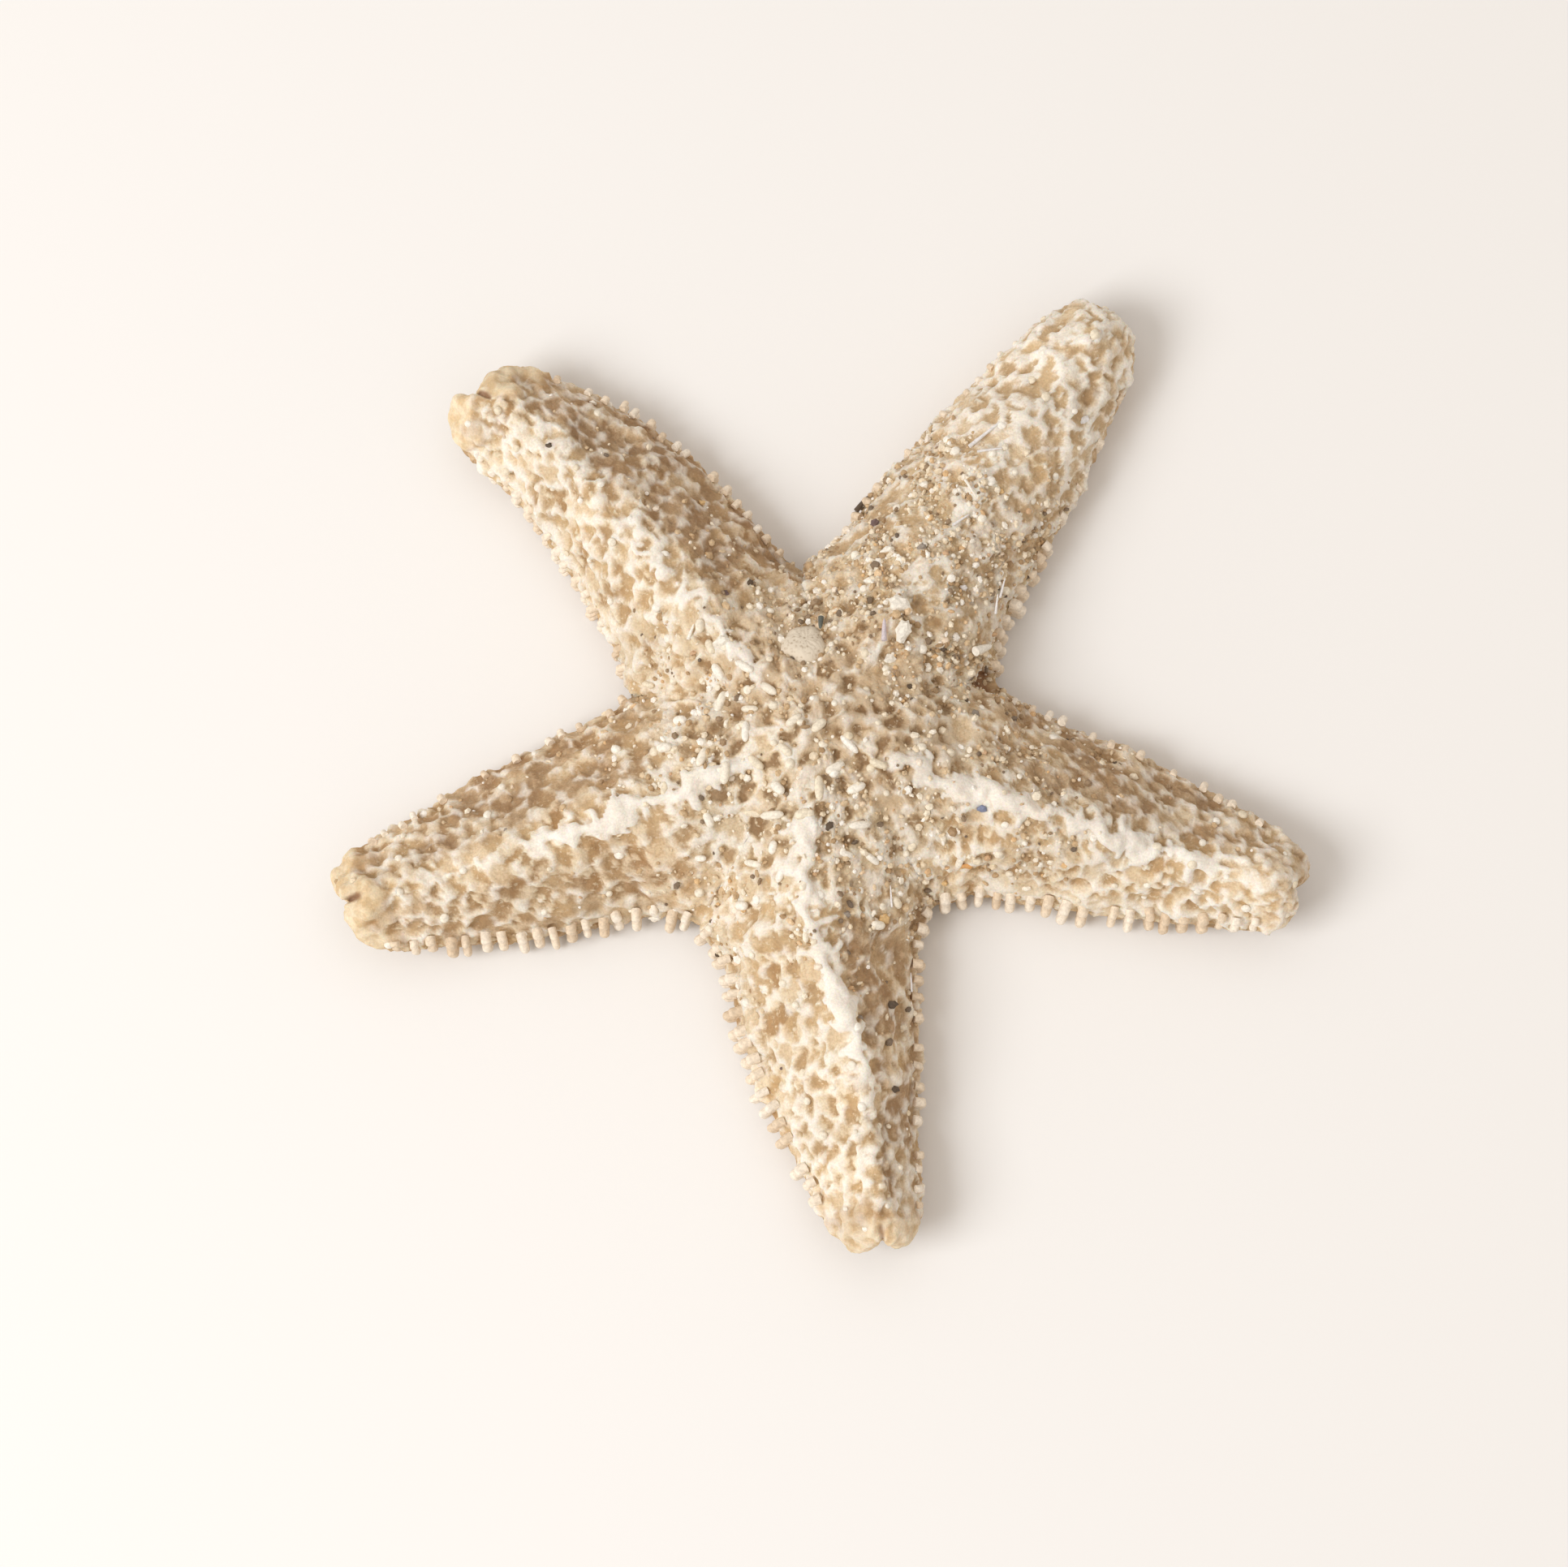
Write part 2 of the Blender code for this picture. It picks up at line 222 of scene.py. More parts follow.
def rowPlan(index):
    arm = arms[index]
    left, right = armCorners(index)
    root = 0.49 * (armpits[index]["radius"] + armpits[index - 1]["radius"])
    bodyEnd = arm["reach"] - arm["cap"]
    plan = []
    for share in np.linspace(0.0, 1.0, skin["discRows"] + 1):
        plan.append(("disc", share, share * root, np.multiply(share, left), np.multiply(share, right)))
    for share in np.linspace(0.0, 1.0, skin["armRows"] + 1)[1:]:
        ends = []
        for corner, side in ((left, 1.0), (right, -1.0)):
            along = corner[0] + (bodyEnd - corner[0]) * share
            ends.append((along, marginAcross(arm, corner, side, along)))
        plan.append(("arm", 1.0, root + (bodyEnd - root) * share, ends[0], ends[1]))
    for angle in np.linspace(0.0, math.pi / 2.0, skin["capRows"] + 1)[1:]:
        along = bodyEnd + arm["cap"] * math.sin(angle)
        full = max(0.0, math.cos(angle)) ** 0.75 if angle < math.pi / 2.0 - 0.001 else 0.0
        ends = []
        for corner, side in ((left, 1.0), (right, -1.0)):
            middle = centreLine(arm, along)
            ends.append((along, middle + (marginAcross(arm, corner, side, along) - middle) * full))
        plan.append(("cap", full, along, ends[0], ends[1]))
    return plan


def backHeight(arm, kind, full, ridgeAt, share):
    ridge = ridgeHeight(arm, ridgeAt)
    rise = sectionRise(arm, share)
    low, high = body["marginHeight"], body["discHeight"]
    if kind == "disc":
        power, root = body["discFall"]
        valley = low + (high - low) * max(0.0, 1.0 - full ** power) ** root
        saddle = np.cos(0.5 * math.pi * share) ** 2
        return valley + (ridge - valley) * (saddle + (rise - saddle) * full ** 2)
    height = low + (ridge - low) * rise
    return body["tipCentreHeight"] + (height - body["tipCentreHeight"]) * full


# columns of the underside: share of the width, share of the margin's height
underEdge = [(1.0, 1.0), (0.985, 0.74), (0.96, 0.5), (0.925, 0.31), (0.88, 0.16), (0.83, 0.07),
             (0.77, 0.02), (0.70, 0.0)]
# then across the flat strip, and down into the groove: share of its half width and depth
stripShares = (0.25, 0.5, 0.75)
grooveEdge = [(1.0, 0.0), (0.86, 0.3), (0.66, 0.68), (0.36, 0.93), (0.0, 1.0)]


def underSide(arm, kind, full, ridgeAt, end, side, edge):
    middle = centreLine(arm, ridgeAt)
    span = abs(end[1] - middle)
    groove = min(body["grooveHalfWidth"], 0.4 * span)
    inner = underEdge[-1][0] * span
    columns = [(share * span, rise * edge) for share, rise in underEdge]
    columns += [(inner + (groove - inner) * share, 0.0) for share in stripShares]
    columns += [(share * groove, depth * body["grooveDepth"]) for share, depth in grooveEdge]
    offset, up = np.array(columns).T
    share = offset / span if span > 0.0 else np.zeros(len(offset))
    along = ridgeAt + (end[0] - ridgeAt) * share ** 2
    across = middle + side * offset
    if kind == "disc":
        dish = body["mouthDepth"] * (1.0 - ease(np.hypot(along, across) / body["mouthRadius"]))
        up = np.maximum(up, dish)
    else:
        up = body["tipCentreHeight"] + (up - body["tipCentreHeight"]) * full
    return along, across, up, offset


def armLattice(index):
    # rows of points over the back from left to right, then along the underside to the left
    arm = arms[index]
    half = 1.0 - (1.0 - np.linspace(0.0, 1.0, skin["slopeColumns"] + 1)) ** skin["columnCrowding"]
    pits = [np.array(polar(p["radius"], p["azimuth"])) for p in (armpits[index], armpits[index - 1])]
    points, alongs, shares, unders = [], [], [], []
    for kind, full, ridgeAt, left, right in rowPlan(index):
        rows = []
        for end, side, pit in ((left, 1.0, pits[0]), (right, -1.0, pits[1])):
            along = ridgeAt + (end[0] - ridgeAt) * half ** 2
            across = ridgeLine(arm, ridgeAt) + (end[1] - ridgeLine(arm, ridgeAt)) * half
            up = backHeight(arm, kind, full, ridgeAt, half)
            gap = np.linalg.norm(pit) * (1.0 - full)
            edge = body["marginHeight"]
            if kind == "disc":
                edge *= 1.0 - ease(gap / body["edgeRise"])
            under = underSide(arm, kind, full, ridgeAt, end, side, edge)
            rows.append((along, across, up, half * side, under, side))
        over = [np.concatenate([rows[0][k][:0:-1], rows[1][k]]) for k in range(4)]
        below = [np.concatenate([rows[1][4][k], rows[0][4][k][-2::-1]]) for k in range(4)]
        count = len(rows[0][4][0])
        belowSign = np.concatenate([-np.ones(count), np.ones(count - 1)])
        along = np.concatenate([over[0], below[0]])
        across = np.concatenate([over[1], below[1]])
        up = np.concatenate([over[2], below[2]])
        if kind == "cap":
            offset = across - centreLine(arm, ridgeAt)
            depth = body["tipNotchDepth"] * arm["notch"] * math.sqrt(1.0 - full)
            along = along - depth * np.exp(-((offset / body["tipNotchWidth"]) ** 2))
        place = toStar(arm, along, across, up + tipLift(arm, ridgeAt))
        if kind == "disc":   # neighbouring arms share these corners to the last bit
            for column, pit in ((0, pits[0]), (2 * skin["slopeColumns"], pits[1]),
                                (2 * skin["slopeColumns"] + 1, pits[1]), (-1, pits[0])):
                place[column, :2] = atDisc(*(full * pit))
            if full == 0.0:
                place[:] = [*body["discOffset"], body["discHeight"]]
                place[2 * skin["slopeColumns"] + 1:, 2] = body["mouthDepth"]
        if full == 0.0 and kind == "cap":
            place[:] = place[skin["slopeColumns"]]
        points.append(place)
        alongs.append(np.full(len(along), ridgeAt))
        shares.append(np.concatenate([over[3], belowSign * below[3]]))
        unders.append(np.concatenate([np.zeros(len(over[0])), np.ones(len(below[0]))]))
    return [np.array(part) for part in (points, alongs, shares, unders)]


def latticeFaces(rows, columns):
    faces = []
    overEnd = 2 * skin["slopeColumns"]
    column = np.array([c for c in range(columns - 1) if c != overEnd])
    for row in range(rows - 1):
        first = row * columns + column
        faces.append(np.stack([first, first + 1, first + columns + 1, first + columns], axis=1))
    return np.concatenate(faces)


def buildBodyMesh():
    # every arm's lattice, welded where the points are the same
    points, faces, tags = [], [], []
    for index in range(len(arms)):
        place, along, share, under = armLattice(index)
        rows, columns = place.shape[:2]
        faces.append(latticeFaces(rows, columns) + sum(len(part) for part in points))
        points.append(place.reshape(-1, 3))
        tags.append(np.stack([along, share, under, np.full(along.shape, index)], axis=-1).reshape(-1, 4))
    points, faces, tags = np.concatenate(points), np.concatenate(faces), np.concatenate(tags)
    _, first, back = np.unique(points.round(6), axis=0, return_index=True, return_inverse=True)
    faces = back.reshape(-1)[faces]
    polygons = []
    for face in faces.tolist():
        kept = [corner for place, corner in enumerate(face) if corner != face[place - 1]]
        if len(set(kept)) > 2:
            polygons.append(kept)
    return points[first], polygons, tags[first]


def vertexNormals(points, polygons):
    probe = bpy.data.meshes.new("probe")
    probe.from_pydata(points.tolist(), [], polygons)
    probe.update()
    flat = np.empty(len(points) * 3)
    probe.vertex_normals.foreach_get("vector", flat)
    bpy.data.meshes.remove(probe)
    return flat.reshape(-1, 3)


def ladderSeeds(points, tags):
    # two even rows of cells beside each arm's ridge leave the ridge and its rungs standing
    rng = np.random.default_rng(skin["seed"])
    seeds = []
    for index, arm in enumerate(arms):
        mine = points[(tags[:, 3] == index) & (tags[:, 2] == 0)]
        tree = treeOf(mine)
        along = 6.5
        while along < arm["reach"] - 2.0:
            small = 1.0 - 0.42 * float(ease((along / arm["reach"] - 0.45) / 0.5))
            for side in (1.0, -1.0):
                reach = skin["ladderOffset"] * small * rng.uniform(0.85, 1.15)
                shift = along + rng.uniform(-0.35, 0.35) * small + 0.25 * side
                across = ridgeLine(arm, shift) + side * reach
                up = ridgeHeight(arm, shift) - 0.6
                guess = toStar(arm, shift, across, up)
                seeds.append(tree.find(guess)[0])
            along += skin["ladderPitch"] * small * rng.uniform(0.88, 1.12)
    return [np.array(seed) for seed in seeds]


def scatterSeeds(points, tags, seeds):
    # the other cells: tried one at a time, and kept where they have room
    rng = np.random.default_rng(skin["seed"] + 1)
    small = ease((tags[:, 0] / perArm(tags, "reach") - 0.5) / 0.45)
    room = skin["cellSize"] + (skin["tipCellSize"] - skin["cellSize"]) * small
    room *= perArm(tags, "cells")
    kept = np.array(seeds)
    for pick in rng.permutation(len(points))[:skin["cellTries"]]:
        space = room[pick] * rng.uniform(0.86, 1.12)
        if np.min(np.sum((kept - points[pick]) ** 2, axis=1)) > space * space:
            kept = np.vstack([kept, points[pick]])
    return kept


def treeOf(places):
    tree = KDTree(len(places))
    for number, place in enumerate(places):
        tree.insert(place, number)
    tree.balance()
    return tree


def nearestCells(seeds, points):
    # the four nearest cells, nearest first
    tree = treeOf(seeds)
    return np.array([[found[1] for found in tree.find_n(place, 4)] for place in points])


def pairChance(first, second, salt):
    # the same random number for the same two cells, whichever comes first
    low, high = np.minimum(first, second), np.maximum(first, second)
    mixed = np.sin(low * 12.9898 + high * 78.233 + salt * 37.719) * 43758.5453
    return mixed - np.floor(mixed)


def netRelief(points, seeds, radius):
    # the height of the net above its pits, a knob where three bars meet, and each pit's own tone
    wander = np.stack([waves(points, 1.7, 21 + axis) for axis in range(3)], axis=1)
    fine = np.stack([waves(points, 0.7, 31 + axis) for axis in range(3)], axis=1)
    bent = points + skin["wander"] * (0.62 * wander + 0.20 * fine) * 0.6
    near = nearestCells(seeds, bent)
    own = seeds[near[:, 0]]
    swell = 1.0 + 0.26 * waves(points, 1.5, 41)
    inDisc = ease((15.0 - radius) / 6.0)
    girth = skin["netHalfWidth"] + (skin["discHalfWidth"] - skin["netHalfWidth"]) * inDisc
    lively = np.clip(0.92 + 0.22 * waves(points, 1.9, 43), 0.45, 1.25)
    net = np.zeros(len(points))
    gaps = []
    for other in range(1, 4):
        pair = near[:, 0], near[:, other]
        theirs = seeds[near[:, other]]
        apart = np.linalg.norm(theirs - own, axis=1)
        further = np.sum((bent - theirs) ** 2, axis=1) - np.sum((bent - own) ** 2, axis=1)
        gap = further / (2.0 * apart)
        chance = pairChance(*pair, 1) + ease((15.0 - radius) / 4.0)      # the disc has all its bars
        width = girth * (0.62 + 0.7 * pairChance(*pair, 2)) * swell
        strong = 0.74 + 0.36 * pairChance(*pair, 3)
        strength = np.where(chance < skin["missingBars"], 0.10, strong) * lively
        profile = np.exp(-np.abs(gap / (0.62 * np.maximum(width, 0.2))) ** 2.7)
        net = np.maximum(net, profile * strength)
        gaps.append(gap)
    knob = np.exp(-(gaps[0] ** 2 + gaps[1] ** 2) / 0.55)
    tone = pairChance(near[:, 0], near[:, 0], 7)
    filled = np.where(tone > 0.84, 0.40, 0.0) * ease(gaps[0] / 0.4)
    islands = 0.85 * ease((waves(points, 1.25, 45) - 0.85) / 0.7) * ease((radius - 9.0) / 5.0)
    net = np.maximum(net, np.maximum(filled, islands))
    return np.clip(net, 0.0, 1.15), knob, tone


def sideValue(tags, key):
    # a value that each arm gives for its left and its right
    pairs = perArm(tags, key)
    return np.where(tags[:, 1] > 0.0, pairs[:, 0], pairs[:, 1])


def carinalRidge(points, tags):
    # the lumpy white ridge down the middle of each arm's back, with short rungs on both sides
    rise = np.zeros(len(points))
    for number, arm in enumerate(arms):
        mine = (tags[:, 3] == number) & (tags[:, 2] == 0)
        place = points[mine]
        angle = math.radians(arm["azimuth"])
        x, y = (place[:, :2] - body["discOffset"]).T
        along = x * math.cos(angle) + y * math.sin(angle)
        across = y * math.cos(angle) - x * math.sin(angle)
        line = np.array([ridgeLine(arm, s) for s in np.clip(along, 0.0, arm["reach"])])
        turns = along * 2.0 * math.pi
        zigzag = 0.14 * np.sin(turns / 3.1 + number) + 0.34 * waves(place, 3.0, 60 + number)
        lump = 1.0 + 0.14 * np.sin(turns / 1.7 + 2.0 * number) + 0.13 * waves(place, 1.5, 70)
        width = skin["carinalHalfWidth"] * lump * (0.45 + 0.55 * arm["chain"])
        width *= 1.0 - 0.45 * ease((along / arm["reach"] - 0.55) / 0.4)
        aside = across - line - zigzag
        offset = aside / np.maximum(width, 0.2)
        live = ease((along - 4.5) / 3.0)
        live = live * ease((arm["reach"] * arm["chainEnd"] - along) / 7.0 + 0.5)
        broken = (0.55 - 0.25 * arm["chain"]) * waves(place, 3.4, 75 + number)
        live *= ease(0.75 + 0.55 * arm["chain"] + broken)
        # the rungs slant outward, each with a reach of its own
        slant = along + 0.35 * np.abs(aside) + 0.25 * waves(place, 2.4, 78)
        rung = np.floor(slant / skin["rungPitch"])
        luck = pairChance(rung, np.sign(aside) + 2.0, 80 + number)
        thin = (slant / skin["rungPitch"] - rung - 0.5) * skin["rungPitch"] / skin["rungHalfWidth"]
        rungs = np.clip(1.0 - thin ** 2, 0.0, 1.0) ** 0.6 * ease((0.7 + 1.5 * luck - np.abs(aside)) / 0.5)
        core = np.clip(1.0 - offset ** 2, 0.0, 1.0) ** 0.6
        rise[mine] = np.maximum(core, 0.8 * rungs) * live * min(1.0, 0.5 + 0.5 * arm["chain"])
    return rise


def armpitHollow(points):
    # the ribbed hollow between the north east and the east arm, whose colour the skin darkens with painted
    # shade
    x, y, z = skin["hollow"]
    away = np.linalg.norm((points - np.array([*atDisc(x, y), z])) * (1.0, 1.0, 0.7), axis=1)
    ribs = 0.85 + 0.15 * np.cos(2.0 * math.pi * points[:, 0] / 0.55)
    return np.exp(-(away / skin["hollowRadius"]) ** 4) * ribs


def flankLooks(points, tags, onArm):
    # the dusty smooth flanks, whose colour also carries painted shade on the sides turned from the key
    # light, and the smooth pale band above the spines
    share = np.abs(tags[:, 1])
    bareAndShaded = sideValue(tags, "bareAndShaded") * ease((share - 0.10) / 0.25) * onArm
    bareAndShaded = bareAndShaded * ease((1.0 - share) / 0.15 + 0.35)
    bareAndShaded *= np.clip(0.9 + 0.45 * waves(points, 4.5, 91), 0.35, 1.25)
    nearTip = ease((tags[:, 0] / perArm(tags, "reach") - 0.75) / 0.2)
    bareAndShaded = np.clip(bareAndShaded * (1.0 - 0.5 * nearTip), 0.0, 1.0)
    band = sideValue(tags, "band") * bump(share, 0.86 + 0.03 * waves(points, 5.0, 92), 0.07) * onArm
    return bareAndShaded, band * np.clip(0.75 + 0.35 * waves(points, 2.2, 93), 0.0, 1.0)


def sandCover(points, tags, radius, bareAndShaded, carinal):
    # how thick the stuck sand lies, which keeps off the white ridge
    share = perArm(tags, "sand")
    sandy = ease((17.0 - radius) / 10.0) * (0.16 + 0.40 * ease(0.35 + 0.6 * waves(points, 6.0, 81)))
    patchy = 0.35 * share + 0.65 * ease(0.45 + 0.6 * waves(points, 5.0, 82))
    patchy = patchy * ease((perArm(tags, "sandReach") - radius) / 9.0)
    patchy *= share * ease((radius - 4.0) / 6.0)
    return np.clip(sandy + patchy * (1.0 - sandy) + 0.16 * bareAndShaded, 0.0, 1.0) * (1.0 - 0.75 * carinal)


def towardsRods(points):
    # how far each point lies to the side of the disc where the rods are
    return (points[:, :2] - np.array(body["discOffset"])) @ np.array(polar(1.0, backRods["heading"]))


def chalkCover(points, tags, onArm):
    # how white the net is: the disc is chalkier on the side of its rods, and sandier on the other
    white = perArm(tags, "white") * onArm
    white += 0.8 * (1.0 - onArm) * ease((towardsRods(points) + 2.0) / 8.0)
    return np.clip(white + 0.22 * waves(points, 4.0, 95) + 0.25 * bump(tags[:, 1], 0.0, 0.3), 0.0, 1.2)


tipCaps = {
    "length": 4.1, "wander": 0.55, "blend": 2.4, "smoothness": 0.80, "swell": 0.46, "lumps": 0.14,
    "creaseDepth": 0.20, "slotDepth": 0.65, "slotLength": 2.6, "slotWidth": 0.13,
}


def tipShape(points, tags, reach, cap):
    # how far into the smooth cream cap each point lies, the slot in its middle and the crease behind it
    look = tipCaps
    start = reach - look["length"] + look["wander"] * waves(points, 3.2, 94)
    tip = ease((tags[:, 0] - start) / look["blend"]) * cap
    slit = bump(tags[:, 1], 0.02, look["slotWidth"])
    slit = slit * ease((tags[:, 0] - (reach - look["slotLength"])) / 1.4) * tip
    return tip, slit, bump(tags[:, 0], start + 0.3, 0.5)


def skinRelief(points, normals, tags):
    top = tags[:, 2] == 0
    radius, reach, cap = fromDisc(points), perArm(tags, "reach"), perArm(tags, "tipCap")
    seeds = scatterSeeds(points[top], tags[top], ladderSeeds(points, tags))
    net, knob, tone = netRelief(points, seeds, radius)
    carinal = carinalRidge(points, tags)
    onArm = ease((radius - 11.0) / 7.0)
    bareAndShaded, band = flankLooks(points, tags, onArm)
    tip, slit, crease = tipShape(points, tags, reach, cap)
    sandy = sandCover(points, tags, radius, bareAndShaded, carinal)
    upright = ease((normals[:, 2] + 0.25) / 0.5)
    net = net * (1.0 - 0.62 * bareAndShaded)
    height = net * skin["netHeight"] * (1.0 - 0.25 * sandy)
    height = height + knob * skin["knobHeight"] * (1.0 - 0.6 * bareAndShaded)
    height = np.maximum(height, band * skin["bandHeight"] + 0.35 * height)
    net = np.maximum(net, band)
    height *= 1.0 - tipCaps["smoothness"] * tip
    height = np.maximum(height, carinal * skin["carinalHeight"] + 0.35 * height)
    height += 0.16 * waves(points, 4.6, 83) + 0.06 * waves(points, 1.1, 84) - 0.22
    height += sandy * (0.07 * waves(points, 0.75, 85) + 0.05 * waves(points, 0.5, 86))
    swell = tipCaps["swell"] + tipCaps["lumps"] * waves(points, 2.2, 87)
    height += tip * swell - tipCaps["slotDepth"] * slit
    height -= tipCaps["creaseDepth"] * crease * cap
    hollow = armpitHollow(points)
    height -= skin["hollowDepth"] * hollow
    seat = sieveSeat(points, normals)[0]       # the skin is smooth and sunk under the sieve plate
    clearing = 1.0 - ease((np.linalg.norm(points - seat, axis=1) - sieve["clearing"]) / 0.7)
    height = height * (1.0 - clearing) - sieve["seatDepth"] * clearing
    fade = np.where(top, 1.0, 0.0) * upright
    below = (1.0 - upright) * (0.10 * waves(points, 1.3, 88) + 0.05 * waves(points, 0.8, 89))
    below *= ease(points[:, 2] / 0.8)     # the flat strips stay on the ground
    moved = points + normals * (height * fade + below)[:, None]
    looks = {"net": np.clip(net, 0.0, 1.0) * fade, "knob": knob * fade, "carinal": carinal * fade,
             "sandy": sandy * upright, "tipTone": tip, "underTone": 1.0 - upright,
             "bareAndShaded": bareAndShaded * upright, "pitTone": tone, "disc": ease((14.0 - radius) / 5.0),
             "slit": np.maximum(slit, hollow), "white": chalkCover(points, tags, onArm)}
    return moved, looks


def placedObject(name, data):
    made = bpy.data.objects.new(name, data)
    bpy.context.scene.collection.objects.link(made)
    return made


def meshObject(name, points, polygons, looks=None):
    data = bpy.data.meshes.new(name)
    data.from_pydata((points * mm).tolist(), [], polygons)
    data.update()
    data.shade_smooth()
    for key, values in (looks or {}).items():
        layer = data.attributes.new(key, "FLOAT", "POINT")
        layer.data.foreach_set("value", np.ascontiguousarray(values, dtype=np.float32))
    return placedObject(name, data)


def tint(red, green, blue):
    # a colour given as it looks on a screen, 0 to 255
    def flat(part):
        part /= 255.0
        return part / 12.92 if part <= 0.04045 else ((part + 0.055) / 1.055) ** 2.4
    return (flat(red), flat(green), flat(blue), 1.0)


class nodeKit:
    # short hands for building node trees
    def __init__(self, tree):
        self.tree = tree

    def add(self, kind, **settings):
        made = self.tree.nodes.new(kind)
        for key, value in settings.items():
            setattr(made, key, value)
        return made

    def link(self, source, target):
        self.tree.links.new(source, target)

    def feed(self, node, **values):
        # each value goes to the input of that name: a link if it is a socket
        for key, value in values.items():
            if isinstance(value, bpy.types.NodeSocket):
                self.link(value, node.inputs[key])
            else:
                node.inputs[key].default_value = value
        return node

    def maths(self, operation, *values):
        made = self.add("ShaderNodeMath", operation=operation)
        for socket, value in zip(made.inputs, (*values, 0.0, 0.0)):
            if isinstance(value, (int, float)):
                socket.default_value = value
            else:
                self.link(value, socket)
        return made.outputs[0]

    def times(self, first, second):
        return self.maths("MULTIPLY", first, second)

    def stirred(self, value, noise, amount):
        # a value pushed up and down by a noise
        return self.maths("ADD", value, self.times(self.maths("SUBTRACT", noise, 0.5), amount))

    def scaled(self, vector, amount):
        made = self.add("ShaderNodeVectorMath", operation="SCALE")
        self.link(vector, made.inputs[0])
        return self.feed(made, Scale=amount).outputs[0]

    def between(self, value, low, high, bottom=0.0, top=1.0):
        made = self.feed(self.add("ShaderNodeMapRange", interpolation_type="SMOOTHSTEP"), Value=value)
        for key, number in (("From Min", low), ("From Max", high), ("To Min", bottom), ("To Max", top)):
            made.inputs[key].default_value = number
        return made.outputs["Result"]

    def attribute(self, name):
        return self.add("ShaderNodeAttribute", attribute_name=name).outputs["Fac"]

    def noise(self, place, scale, detail=2.0, roughness=0.5):
        made = self.add("ShaderNodeTexNoise")
        self.feed(made, Vector=place, Scale=scale, Detail=detail, Roughness=roughness)
        return made.outputs["Fac"]

    def cells(self, place, scale, feature="F1"):
        return self.feed(self.add("ShaderNodeTexVoronoi", feature=feature), Vector=place, Scale=scale)

    def blend(self, factor, first, second):
        made = self.add("ShaderNodeMix", data_type="RGBA", blend_type="MIX")
        for socket, value in ((made.inputs[0], factor), (made.inputs[6], first), (made.inputs[7], second)):
            if isinstance(value, bpy.types.NodeSocket):
                self.link(value, socket)
            else:
                socket.default_value = tint(*value) if isinstance(value, tuple) else value
        return made.outputs[2]

    def ramp(self, value, stops):
        made = self.feed(self.add("ShaderNodeValToRGB"), Fac=value)
        ramp = made.color_ramp
        while len(ramp.elements) < len(stops):
            ramp.elements.new(0.5)
        for element, (place, colour) in zip(ramp.elements, stops):
            element.position = place
            element.color = tint(*colour)
        return made.outputs["Color"]

    def raised(self, height, distance, strength=1.0, under=None):
        made = self.feed(self.add("ShaderNodeBump"), Height=height, Distance=distance, Strength=strength)
        if under is not None:
            self.link(under, made.inputs["Normal"])
        return made.outputs["Normal"]


def newMaterial(name, roughness):
    made = bpy.data.materials.new(name)
    made.use_nodes = True
    kit = nodeKit(made.node_tree)
    shader = made.node_tree.nodes["Principled BSDF"]
    shader.inputs["Roughness"].default_value = roughness
    shader.inputs["Specular IOR Level"].default_value = 0.28
    place = kit.add("ShaderNodeTexCoord").outputs["Object"]
    return made, kit, shader, place


skinLook = {
    "pit": (206, 175, 132), "pitWarm": (174, 138, 96),
    "pitDeep": (142, 111, 78), "pitPale": (228, 206, 170),
    "bar": (230, 213, 185), "crest": (244, 237, 225), "chain": (246, 241, 232),
    # dust colours: dust on the disc, and dust with painted shade on the flanks turned from the key light,
    # darkest in their pits
    "dustAndShade": (190, 160, 127), "warmDustAndShade": (168, 134, 99), "deepDustAndShade": (148, 116, 86),
    "sandPale": (232, 214, 184), "sandDark": (158, 130, 98), "amber": (216, 172, 116),
    "grey": (140, 130, 122), "tip": (238, 222, 192), "tipLow": (220, 194, 154),
    # slit is painted shade for the tip slots and the armpit hollow
    "tipCreaseShade": (184, 146, 102), "slit": (140, 98, 68), "under": (214, 188, 154),
    "underSeam": (188, 156, 118), "plateScale": 900.0, "plateWobble": 1100.0, "plateShift": 0.0009,
    "sandScale": 2100.0, "grainScale": 5200.0, "mottleScale": 900.0, "roughness": 0.84,
    "glow": 0.34, "glowDepth": 0.0008, "glowSpread": (1.0, 0.62, 0.38),
}


